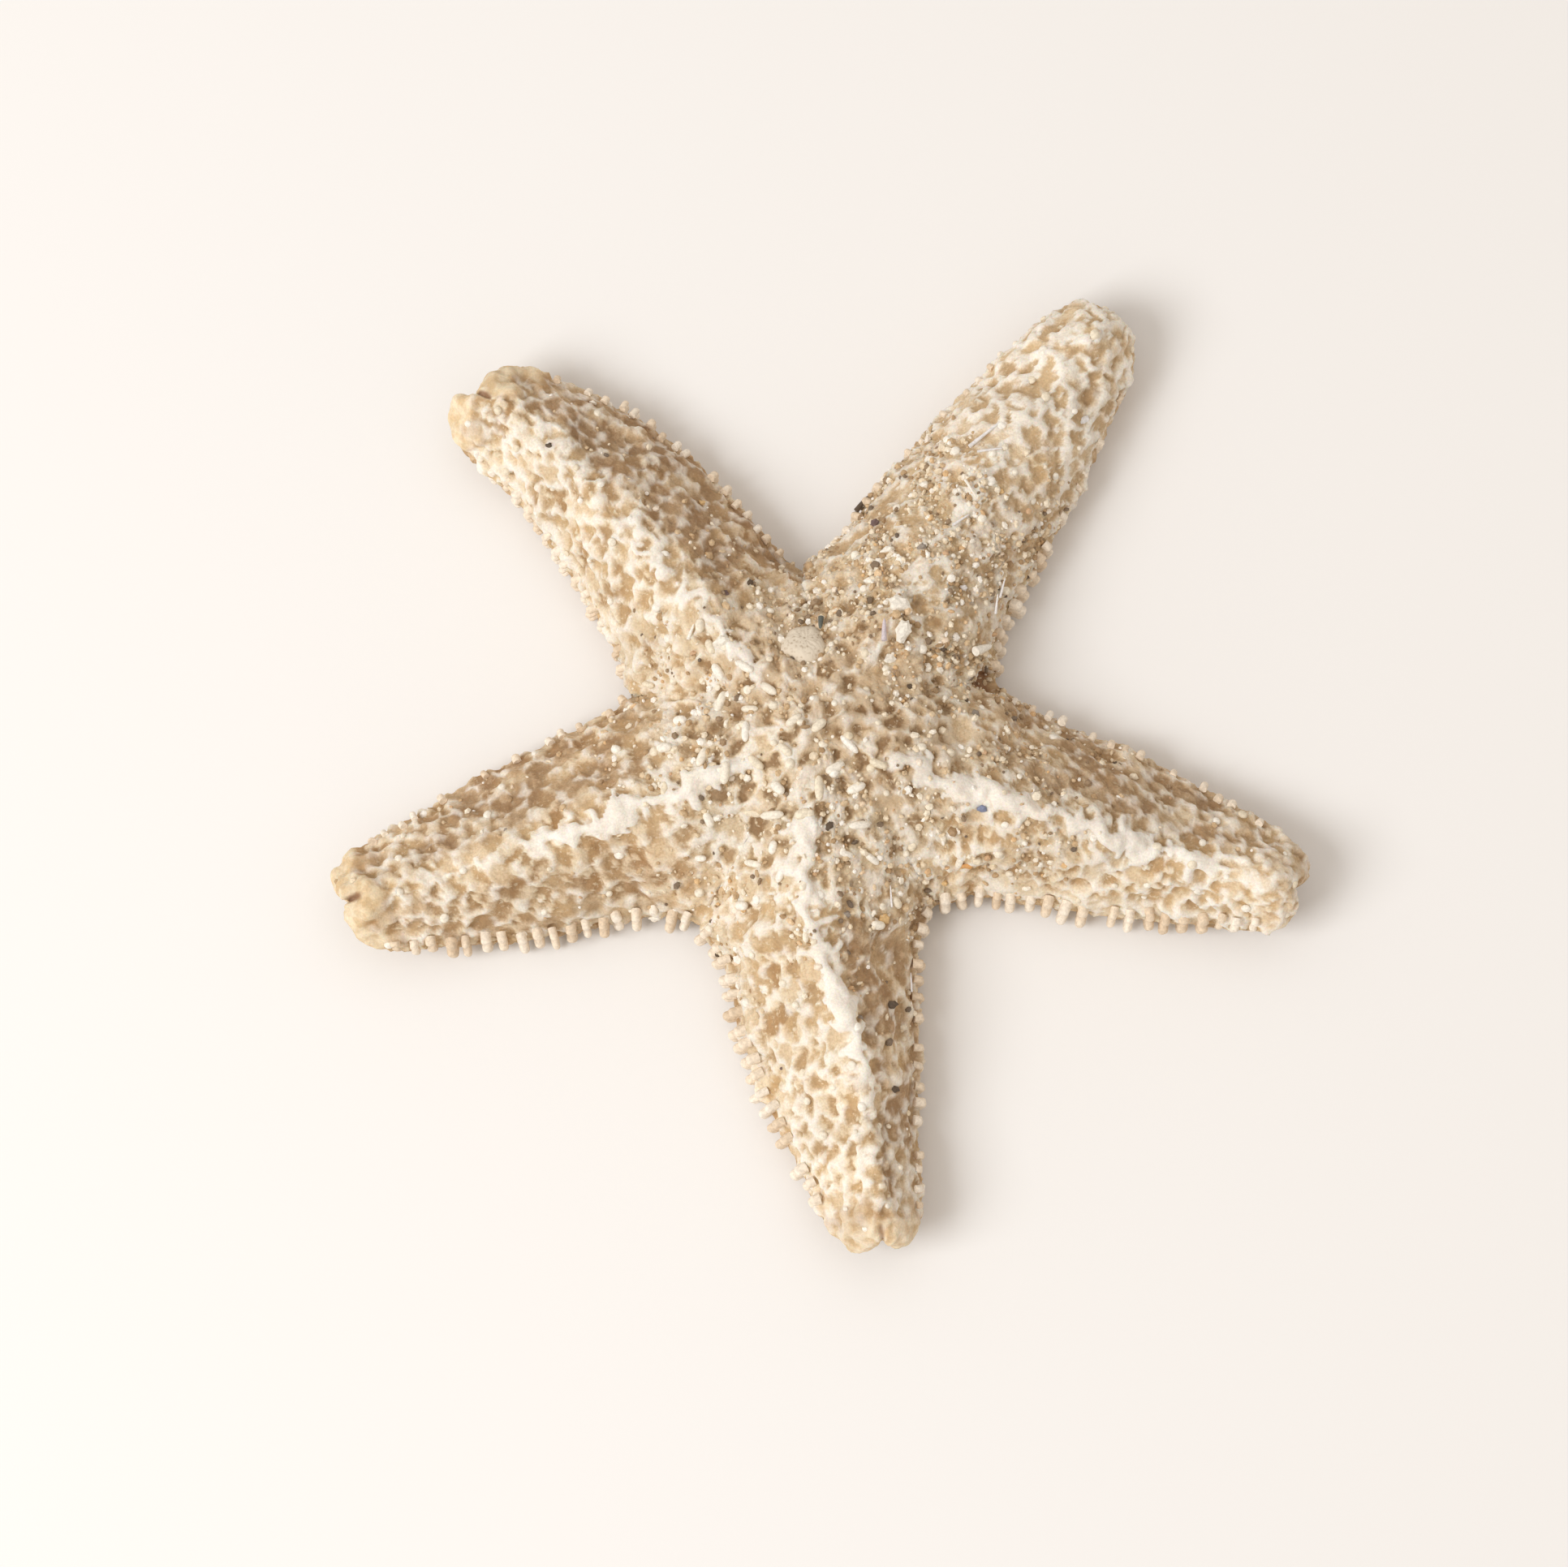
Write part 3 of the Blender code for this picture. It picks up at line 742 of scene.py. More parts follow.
def netColour(kit, place, grain, mottle, edge):
    # pits, bars, dust, painted shade on the flanks turned from the light, and the white ridge
    look = skinLook
    disc, white, bareAndShaded = kit.attribute("disc"), kit.attribute("white"), kit.attribute("bareAndShaded")
    warm = kit.maths("ADD", kit.attribute("pitTone"), kit.times(mottle, 0.6))
    pit = kit.blend(kit.between(warm, 0.35, 1.25), look["pitWarm"], look["pit"])
    pit = kit.blend(kit.times(white, 0.40), pit, look["pitPale"])
    deep = kit.times(disc, kit.between(kit.attribute("net"), 0.55, 0.04))
    pit = kit.blend(kit.times(deep, 0.9), pit, look["pitDeep"])
    chalky = kit.maths("MULTIPLY_ADD", white, 0.5, edge)
    bar = kit.blend(kit.between(chalky, 0.80, 1.35), look["bar"], look["crest"])
    dusty = kit.times(disc, kit.between(white, 0.0, 0.8, 0.42, 0.04))
    bar = kit.blend(dusty, bar, look["dustAndShade"])
    colour = kit.blend(kit.between(edge, 0.03, 0.70), pit, bar)
    speck = kit.between(kit.noise(place, 2300.0, 2.0, 0.6), 0.56, 0.70, 0.0, 0.75)
    colour = kit.blend(kit.times(speck, kit.between(edge, 0.6, 0.2)), colour, look["bar"])
    # painted shade with dust: the flanks turned from the key light go darker, most of all in their pits
    dustAndShade = kit.blend(kit.between(mottle, 0.35, 0.65), look["warmDustAndShade"], look["dustAndShade"])
    dustAndShade = kit.blend(kit.between(edge, 0.05, 0.50), look["deepDustAndShade"], dustAndShade)
    colour = kit.blend(kit.times(bareAndShaded, kit.between(edge, 0.3, 1.0, 0.72, 0.52)), colour, dustAndShade)
    crest = kit.maths("MAXIMUM", kit.attribute("carinal"), kit.times(kit.attribute("knob"), 0.5))
    return kit.blend(kit.between(crest, 0.18, 0.62, 0.0, 0.95), colour, look["chain"])


def sandColour(kit, place, sand, sandy, colour):
    # the finest sand, as spots of its own colours
    look = skinLook
    pick = kit.add("ShaderNodeSeparateColor")
    kit.link(sand.outputs["Color"], pick.inputs[0])
    stops = ((0.0, "sandDark"), (0.16, "pit"), (0.5, "sandPale"),
             (0.74, "bar"), (0.9, "amber"), (1.0, "grey"))
    spots = kit.ramp(pick.outputs[0], [(at, look[name]) for at, name in stops])
    spots = kit.blend(kit.between(sand.outputs["Distance"], 0.25, 0.75, 0.0, 0.5), spots, look["sandDark"])
    amount = kit.times(sandy, kit.between(kit.noise(place, 420.0, 2.0), 0.36, 0.62, 0.1, 0.7))
    return kit.blend(amount, colour, spots)


def plateSeams(kit, place):
    # the small uneven plates that pave the underside: 0 in a seam, 1 on a plate
    wobble = kit.feed(kit.add("ShaderNodeTexNoise"), Vector=place, Scale=skinLook["plateWobble"])
    bent = kit.add("ShaderNodeVectorMath", operation="MULTIPLY_ADD")
    kit.link(wobble.outputs["Color"], bent.inputs[0])
    bent.inputs[1].default_value = (skinLook["plateShift"],) * 3
    kit.link(place, bent.inputs[2])
    plates = kit.cells(bent.outputs[0], skinLook["plateScale"], "DISTANCE_TO_EDGE")
    return kit.between(plates.outputs["Distance"], -0.02, 0.24)


def skinMaterial():
    look = skinLook
    made, kit, shader, place = newMaterial("driedSkin", look["roughness"])
    glow = (("Weight", look["glow"]), ("Scale", look["glowDepth"]), ("Radius", look["glowSpread"]))
    for key, value in glow:
        shader.inputs["Subsurface " + key].default_value = value
    sandy, tip, underTone = kit.attribute("sandy"), kit.attribute("tipTone"), kit.attribute("underTone")
    grain = kit.noise(place, look["grainScale"], 3.0, 0.6)
    mottle = kit.noise(place, look["mottleScale"])
    edge = kit.stirred(kit.stirred(kit.attribute("net"), grain, 0.35), mottle, 0.45)
    sand = kit.cells(place, look["sandScale"])
    seam = plateSeams(kit, place)
    colour = netColour(kit, place, grain, mottle, edge)
    colour = sandColour(kit, place, sand, sandy, colour)
    colour = kit.blend(kit.times(underTone, 0.8), colour, kit.blend(seam, look["underSeam"], look["under"]))
    # painted shade: a darker band where the cap meets the crease behind it
    crease = kit.times(kit.between(tip, 0.04, 0.30), kit.between(tip, 0.75, 0.35))
    tipTint = kit.blend(kit.between(mottle, 0.35, 0.65), look["tipLow"], look["tip"])
    colour = kit.blend(kit.between(tip, 0.2, 0.9, 0.0, 0.92), colour, tipTint)
    colour = kit.blend(kit.times(crease, 0.4), colour, look["tipCreaseShade"])
    # painted shade in the tip slots and the armpit hollow
    colour = kit.blend(kit.between(kit.attribute("slit"), 0.25, 0.8, 0.0, 0.85), colour, look["slit"])
    shade = kit.between(kit.noise(place, 140.0), 0.3, 0.7, 0.92, 1.05)
    shade = kit.times(shade, kit.between(grain, 0.25, 0.75, 0.90, 1.08))
    kit.link(kit.scaled(colour, shade), shader.inputs["Base Color"])
    rough = kit.raised(grain, 0.00008, 0.7)
    rough = kit.raised(mottle, 0.00018, 0.6, rough)
    grit = kit.times(kit.maths("SUBTRACT", 1.0, sand.outputs["Distance"]), sandy)
    rough = kit.raised(grit, 0.00022, 0.8, rough)
    kit.link(kit.raised(kit.times(seam, underTone), 0.00025, 0.7, rough), shader.inputs["Normal"])
    return made


# what the small things are made of: colours by tone from 0 to 1, and the size and depth of their grain
chalkLook = {
    "stops": ((0.0, (228, 207, 180)), (0.35, (241, 225, 203)), (1.0, (249, 240, 226))),
    "roughness": 0.62, "grain": 3800.0, "depth": 0.00008,
}
rodLook = {
    "stops": ((0.0, (236, 224, 200)), (1.0, (251, 247, 238))),
    "roughness": 0.6, "grain": 4200.0, "depth": 0.00005,
}
footLook = {
    "stops": ((0.0, (150, 112, 72)), (1.0, (196, 156, 112))),
    "roughness": 0.5, "grain": 3000.0, "depth": 0.00008,
}
sandLook = {
    "stops": ((0.0, (118, 104, 90)), (0.04, (146, 126, 104)), (0.12, (178, 148, 112)),
              (0.28, (208, 180, 142)), (0.45, (232, 214, 184)), (0.70, (244, 234, 214)),
              (0.88, (252, 249, 243)), (0.95, (226, 190, 140)), (1.0, (206, 172, 140))),
    "roughness": 0.5, "grain": 5200.0, "depth": 0.00004,
}


def tonedMaterial(name, look):
    # each grown thing takes its colour from its own tone, broken up by a fine grain
    made, kit, shader, place = newMaterial(name, look["roughness"])
    colour = kit.ramp(kit.attribute("tone"), look["stops"])
    grain = kit.noise(place, look["grain"], 3.0, 0.6)
    shaded = kit.scaled(colour, kit.between(grain, 0.3, 0.7, 0.84, 1.10))
    kit.link(shaded, shader.inputs["Base Color"])
    kit.link(kit.raised(grain, look["depth"], 0.7), shader.inputs["Normal"])
    return made


sieveLook = {"pale": (226, 215, 197), "furrow": (190, 174, 152), "roughness": 0.8}


def sieveMaterial():
    look = sieveLook
    made, kit, shader, place = newMaterial("sievePlateChalk", look["roughness"])
    grain = kit.noise(place, 2600.0, 3.0, 0.65)
    spots = kit.between(kit.cells(place, 3000.0).outputs["Distance"], 0.15, 0.5)
    colour = kit.blend(kit.between(grain, 0.38, 0.62), look["furrow"], look["pale"])
    kit.link(kit.blend(spots, colour, look["pale"]), shader.inputs["Base Color"])
    kit.link(kit.raised(grain, 0.00010, 0.8), shader.inputs["Normal"])
    return made


class growKit(nodeKit):
    # a geometry node tree with named inputs for its sizes
    def __init__(self, name, inputs):
        super().__init__(bpy.data.node_groups.new(name, "GeometryNodeTree"))
        face = self.tree.interface
        face.new_socket(name="Geometry", in_out="INPUT", socket_type="NodeSocketGeometry")
        self.sockets = {}
        for key, value in inputs.items():
            made = face.new_socket(name=key, in_out="INPUT", socket_type="NodeSocketFloat")
            made.default_value = value
            self.sockets[key] = made.identifier
        face.new_socket(name="Geometry", in_out="OUTPUT", socket_type="NodeSocketGeometry")
        self.given = self.add("NodeGroupInput").outputs
        self.values = inputs

    def named(self, name, kind="FLOAT"):
        return self.feed(self.add("GeometryNodeInputNamedAttribute", data_type=kind), Name=name).outputs[0]

    def chance(self, low, high, seed, kind="FLOAT"):
        made = self.feed(self.add("FunctionNodeRandomValue", data_type=kind), Seed=seed)
        first = 0 if kind == "FLOAT_VECTOR" else 2
        made.inputs[first].default_value = low
        made.inputs[first + 1].default_value = high
        return made.outputs[0 if kind == "FLOAT_VECTOR" else 1]

    def peg(self, bothEnds=False):
        # a peg along +Z, round at its far end or at both, from a line swept with a round profile
        top = self.feed(self.add("ShaderNodeCombineXYZ"), Z=self.given["Length"])
        line = self.feed(self.add("GeometryNodeCurvePrimitiveLine", mode="POINTS"), End=top.outputs[0])
        fine = self.feed(self.add("GeometryNodeResampleCurve"), Curve=line.outputs[0], Count=9)
        share = self.add("GeometryNodeSplineParameter").outputs["Factor"]
        # the rings crowd towards the round ends
        if bothEnds:
            turned = self.maths("COSINE", self.times(share, math.pi))
            crowded = self.maths("MULTIPLY_ADD", turned, -0.5, 0.5)
            fromEnd = self.maths("ABSOLUTE", self.maths("MULTIPLY_ADD", share, 2.0, -1.0))
        else:
            crowded = self.maths("SINE", self.times(share, 0.5 * math.pi))
            fromEnd = share
        shift = self.feed(self.add("ShaderNodeCombineXYZ"), Z=self.times(crowded, self.given["Length"]))
        placed = self.feed(self.add("GeometryNodeSetPosition"), Geometry=fine.outputs[0],
                           Position=shift.outputs[0])
        blunt = self.maths("POWER", fromEnd, self.given["Bluntness"])
        rounded = self.maths("SQRT", self.maths("SUBTRACT", 1.0, blunt))
        waist = self.maths("SUBTRACT", 1.0, self.times(share, self.given["Taper"]))
        girth = self.maths("MAXIMUM", self.times(rounded, waist), 0.12)
        ring = self.feed(self.add("GeometryNodeCurvePrimitiveCircle", mode="RADIUS"), Resolution=9,
                         Radius=self.given["Radius"])
        sweep = self.feed(self.add("GeometryNodeCurveToMesh"), Curve=placed.outputs[0], Scale=girth)
        self.link(ring.outputs[0], sweep.inputs["Profile Curve"])
        sweep.inputs["Fill Caps"].default_value = True
        return sweep.outputs[0]

    def rod(self):
        return self.peg(True)

    def grain(self, detail=1):
        ball = self.add("GeometryNodeMeshIcoSphere")
        return self.feed(ball, Subdivisions=detail, Radius=self.given["Radius"]).outputs["Mesh"]

    def pebble(self):
        # a small ball knocked out of round
        place = self.add("GeometryNodeInputPosition").outputs[0]
        uneven = self.maths("SUBTRACT", self.noise(place, 1500.0, 1.0), 0.5)
        amount = self.times(uneven, self.times(self.given["Roughness"], 4.0))
        push = self.scaled(self.add("GeometryNodeInputNormal").outputs[0], amount)
        knocked = self.add("GeometryNodeSetPosition")
        return self.feed(knocked, Geometry=self.grain(2), Offset=push).outputs[0]

    def knob(self):
        ball = self.add("GeometryNodeMeshUVSphere")
        return self.feed(ball, Segments=10, Rings=6, Radius=self.given["Radius"]).outputs["Mesh"]

    def aimed(self):
        # each instance's own Z turned to where its point aims
        made = self.add("FunctionNodeAlignRotationToVector", axis="Z")
        return self.feed(made, Vector=self.named("aim", "FLOAT_VECTOR")).outputs[0]

    def tumbled(self, seed):
        full = 2.0 * math.pi
        made = self.add("FunctionNodeEulerToRotation")
        self.link(self.chance((0.0, 0.0, 0.0), (full, full, full), seed, "FLOAT_VECTOR"), made.inputs[0])
        return made.outputs[0]

    def grow(self, points, shape, turn, scale, material, smooth=True, tone=None):
        # one shape on each point, each with a tone of its own, made real and given its material
        spot = self.feed(self.add("GeometryNodeInstanceOnPoints"), Points=points, Instance=shape,
                         Rotation=turn, Scale=scale)
        toned = self.add("GeometryNodeStoreNamedAttribute", data_type="FLOAT", domain="INSTANCE")
        self.feed(toned, Name="tone", Geometry=spot.outputs[0], Value=tone or self.chance(0.0, 1.0, 9))
        real = self.feed(self.add("GeometryNodeRealizeInstances"), Geometry=toned.outputs[0])
        soft = self.feed(self.add("GeometryNodeSetShadeSmooth"), Geometry=real.outputs[0])
        soft.inputs["Shade Smooth"].default_value = smooth
        coat = self.feed(self.add("GeometryNodeSetMaterial"), Geometry=soft.outputs[0], Material=material)
        self.link(coat.outputs[0], self.add("NodeGroupOutput").inputs[0])


def seedPoints(name, places, aims, stretches, shades=()):
    # loose points in millimetres, with the way each thing points and its size along X, Y and Z
    data = bpy.data.meshes.new(name)
    data.from_pydata([tuple(place) for place in np.asarray(places) * mm], [], [])
    for key, values in (("aim", aims), ("stretch", stretches)):
        layer = data.attributes.new(key, "FLOAT_VECTOR", "POINT")
        layer.data.foreach_set("vector", np.asarray(values, dtype=np.float32).reshape(-1))
    if len(shades):
        layer = data.attributes.new("shade", "FLOAT", "POINT")
        layer.data.foreach_set("value", np.asarray(shades, dtype=np.float32))
    return placedObject(name, data)


def growOn(host, kit, name, material):
    # run the tree once and keep its result as a plain mesh
    modifier = host.modifiers.new("grow", "NODES")
    modifier.node_group = kit.tree
    for key, identifier in kit.sockets.items():
        modifier[identifier] = kit.values[key]
    ready = host.evaluated_get(bpy.context.evaluated_depsgraph_get())
    data = bpy.data.meshes.new_from_object(ready)
    data.name = name
    host.modifiers.remove(modifier)
    bpy.data.objects.remove(host, do_unlink=True)
    if not data.materials:
        data.materials.append(material)
    print(name, len(data.polygons), "faces")
    return placedObject(name, data)


def growThings(name, sizes, shape, spots, material, smooth=True):
    # one thing on each spot, which is its place, its aim, its stretch, and a shade if it has its own colour
    columns = list(zip(*spots))
    kit = growKit(name, sizes)
    tone = kit.named("shade") if len(columns) == 4 else None
    stretch = kit.named("stretch", "FLOAT_VECTOR")
    kit.grow(kit.given["Geometry"], shape(kit), kit.aimed(), stretch, material, smooth, tone)
    return growOn(seedPoints(name + "Points", *columns), kit, name, material)


def pegSizes(length, radius, taper, bluntness):
    return {"Length": length * mm, "Radius": radius * mm, "Taper": taper, "Bluntness": bluntness}


def turnedOut(arm, out, tilt):
    # a direction in the arm's own plan, turned into the star's frame and tilted up
    turn = math.radians(arm["azimuth"])
    flat = math.cos(tilt) / max(math.hypot(*out), 0.001)
    return ((out[0] * math.cos(turn) - out[1] * math.sin(turn)) * flat,
            (out[0] * math.sin(turn) + out[1] * math.cos(turn)) * flat, math.sin(tilt))


# the spines along the margins

marginSpines = {
    "pitch": 1.42, "radius": 0.43, "length": 1.0, "taper": 0.06, "bluntness": 11.0,
    "droop": 52.0, "gaps": 0.35, "start": 0.6, "stop": 3.0, "seed": 5,
    # each row: height, how far inside the edge it springs, tilt in degrees, length buried and free
    "rows": (
        {"name": "edgeSpines", "height": 2.5, "inside": 0.65, "tilt": -4.0, "buried": 0.85, "free": 1.75},
        {"name": "lowerSpines", "height": 1.2, "inside": 0.75, "tilt": -14.0, "buried": 0.9, "free": 1.7},
        {"name": "upperSpines", "height": 3.7, "inside": 0.55, "tilt": 10.0, "buried": 0.75, "free": 1.1},
    ),
}


def marginFrames(arm, index, side):
    # points evenly spaced along one margin, with the way out of it
    corner = armCorners(index)[0 if side > 0 else 1]
    stations = np.linspace(corner[0] + marginSpines["start"], arm["reach"] - marginSpines["stop"], 400)
    across = np.array([marginAcross(arm, corner, side, s) for s in stations])
    run = np.concatenate([[0.0], np.cumsum(np.hypot(np.diff(stations), np.diff(across)))])
    wanted = np.arange(0.3, run[-1], marginSpines["pitch"])
    at = np.interp(wanted, run, stations)
    off = np.interp(wanted, run, across)
    slope = np.interp(wanted, run, np.gradient(across, stations))
    return at, off, slope


def growMarginSpines(row, material):
    rng = np.random.default_rng(marginSpines["seed"])
    spots = []
    for index, arm in enumerate(arms):
        for side in (1.0, -1.0):
            for s, d, slope in zip(*marginFrames(arm, index, side)):
                comb = combAt(arm, side, s)
                if rng.random() < marginSpines["gaps"] * (1.0 - comb):
                    continue
                out = np.array([-slope * side, side]) / math.hypot(slope, 1.0) + rng.normal(0.0, 0.11, 2)
                nearTip = float(ease((arm["reach"] - s) / 10.0))
                length = (row["buried"] + (row["free"] - row["buried"]) * comb) * (0.45 + 0.55 * nearTip)
                base = np.array([s, d]) - out * row["inside"] + rng.normal(0.0, 0.12, 2)
                up = row["height"] + float(tipLift(arm, s)) + rng.normal(0.0, 0.12)
                tilt = row["tilt"] - marginSpines["droop"] * (1.0 - comb) ** 1.5 + rng.normal(0.0, 8.0)
                girth = rng.uniform(0.80, 1.15) * (0.78 + 0.22 * ease(comb / 0.6))
                stretch = (girth, girth, length * rng.uniform(0.82, 1.12))
                spots.append((toStar(arm, *base, up), turnedOut(arm, out, math.radians(tilt)), stretch))
    sizes = pegSizes(*[marginSpines[key] for key in ("length", "radius", "taper", "bluntness")])
    return growThings(row["name"], sizes, growKit.peg, spots, material)


# little rods and knobs on the back

backRods = {
    "count": 46, "room": 1.9, "radius": 0.34, "within": 17.0, "length": (1.2, 2.1), "taper": 0.0,
    "bluntness": 3.2, "heading": 235.0, "from": -2.0, "seed": 8,
}
backKnobs = {"room": 2.0, "radius": 0.36, "count": 170, "seed": 9}


def spacedVertices(candidates, places, room, limit, rng):
    kept = []
    spots = np.empty((0, 3))
    for pick in rng.permutation(candidates):
        if len(kept) and np.min(np.sum((spots - places[pick]) ** 2, axis=1)) < room * room:
            continue
        kept.append(pick)
        spots = np.vstack([spots, places[pick]])
        if len(kept) >= limit:
            break
    return np.array(kept)


def growBackRods(places, normals, looks, radius, material):
    rng = np.random.default_rng(backRods["seed"])
    # most lie on the side of the disc that faces the west and the south arm
    fits = (radius < backRods["within"]) & (towardsRods(places) > backRods["from"])
    fits = np.flatnonzero(fits & (normals[:, 2] > 0.35) & (looks["net"] > 0.25))
    picks = spacedVertices(fits, places, backRods["room"], backRods["count"], rng)
    aims = rng.normal(0.0, 1.0, (len(picks), 3))
    aims -= normals[picks] * np.sum(aims * normals[picks], axis=1, keepdims=True)
    aims /= np.linalg.norm(aims, axis=1, keepdims=True)
    aims += normals[picks] * rng.uniform(-0.02, 0.16, (len(picks), 1))
    length = rng.uniform(*backRods["length"], len(picks)) * (1.0 - 0.35 * ease((radius[picks] - 6.0) / 9.0))
    girth = rng.uniform(0.8, 1.2, len(picks))
    starts = places[picks] + normals[picks] * 0.04 - aims * length[:, None] * 0.5
    sizes = pegSizes(1.0, backRods["radius"], backRods["taper"], backRods["bluntness"])
    spots = zip(starts, aims, zip(girth, girth, length))
    return growThings("backRods", sizes, growKit.rod, spots, material)


def growBackKnobs(places, normals, looks, material):
    rng = np.random.default_rng(backKnobs["seed"])
    fits = np.flatnonzero((looks["knob"] > 0.55) & (looks["tipTone"] < 0.6) & (looks["bareAndShaded"] < 0.5))
    picks = spacedVertices(fits, places, backKnobs["room"], backKnobs["count"], rng)
    girth = rng.uniform(0.6, 1.25, len(picks))
    tall = girth * rng.uniform(0.45, 0.9, len(picks))
    stretches = zip(girth, girth * rng.uniform(0.8, 1.2, len(picks)), tall)
    spots = zip(places[picks] - normals[picks] * 0.05, normals[picks], stretches)
    return growThings("backKnobs", {"Radius": backKnobs["radius"] * mm}, growKit.knob, spots, material)


# sand stuck to the skin

sandKinds = (
    {"name": "fineSand", "grains": 5600.0, "radius": 0.16, "low": 0.6, "high": 1.4, "seed": 14},
    {"name": "coarseSand", "grains": 2600.0, "radius": 0.28, "low": 0.6, "high": 1.4, "seed": 15},
    {"name": "gritSand", "grains": 420.0, "radius": 0.40, "low": 0.6, "high": 1.3, "seed": 16},
)


def growSand(kind, bodySkin, material):
    # the grains lie thickest where the skin's own "sandy" value is high
    area = sum(face.area for face in bodySkin.data.polygons if face.normal.z > 0.0)
    kit = growKit(kind["name"], {"Radius": kind["radius"] * mm, "Density": kind["grains"] / area * 2.2})
    density = kit.times(kit.maths("POWER", kit.named("sandy"), 1.6), kit.given["Density"])
    spread = kit.feed(kit.add("GeometryNodeDistributePointsOnFaces"), Mesh=kit.given["Geometry"],
                      Density=density, Seed=kind["seed"])
    low, high = kind["low"], kind["high"]
    scale = kit.chance((low, low, low * 0.8), (high, high, high * 0.9), kind["seed"] + 1, "FLOAT_VECTOR")
    kit.grow(spread.outputs["Points"], kit.grain(), kit.tumbled(kind["seed"] + 2), scale, material, False)
    return growOn(placedObject(kind["name"] + "Host", bodySkin.data.copy()), kit, kind["name"], material)


# the sieve plate, a pale dome with fine furrows between the two upper arms

sieve = {
    "radius": 2.0, "rise": 0.50, "azimuth": 99.0, "distance": 7.6, "rings": 16, "spokes": 60,
    "furrows": 17, "furrowDepth": 0.030, "rimDrop": 0.62, "sink": 0.9,
    "clearing": 1.7, "seatDepth": 0.30,
}


def sieveSeat(places, normals):
    spot = np.array(atDisc(*polar(sieve["distance"], sieve["azimuth"])))
    near = np.argmin(np.hypot(*(places[:, :2] - spot).T) + 50.0 * (places[:, 2] < 4.0))
    return places[near], normals[near]


def buildSieve(seat, normal):
    normal = normal / np.linalg.norm(normal)
    sideways = np.cross(normal, (0.0, 1.0, 0.0))
    sideways /= np.linalg.norm(sideways)
    forward = np.cross(normal, sideways)
    points, faces = [], []
    rings, spokes = sieve["rings"], sieve["spokes"]
    for ring in range(rings + 1):
        share = ring / rings
        for spoke in range(spokes):
            angle = 2.0 * math.pi * spoke / spokes
            wander = 0.5 * math.sin(3.0 * angle + 7.0 * share) + 0.35 * math.sin(5.0 * angle - 9.0 * share)
            furrow = sieve["furrowDepth"] * math.cos(sieve["furrows"] * angle + 4.0 * wander)
            furrow *= min(1.0, share * 3.0)
            uneven = 1.0 + 0.06 * math.sin(3.0 * angle + 1.0) + 0.05 * math.sin(5.0 * angle)
            reach = sieve["radius"] * share * uneven
            dome = sieve["rise"] * (1.0 - share ** 2.6) - sieve["rimDrop"] * share ** 8
            up = dome + furrow * (1.0 - share ** 6)
            level = seat + sideways * reach * math.cos(angle) + forward * reach * math.sin(angle)
            points.append(level + normal * up)
    for ring in range(rings):
        for spoke in range(spokes):
            after = (spoke + 1) % spokes
            first, second = ring * spokes, (ring + 1) * spokes
            faces.append((first + spoke, second + spoke, second + after, first + after))
    points.append(seat - normal * sieve["sink"])
    last = rings * spokes
    faces += [(last + spoke, len(points) - 1, last + (spoke + 1) % spokes) for spoke in range(spokes)]
    return np.array(points), faces


# single grains, slivers and flakes caught on the back

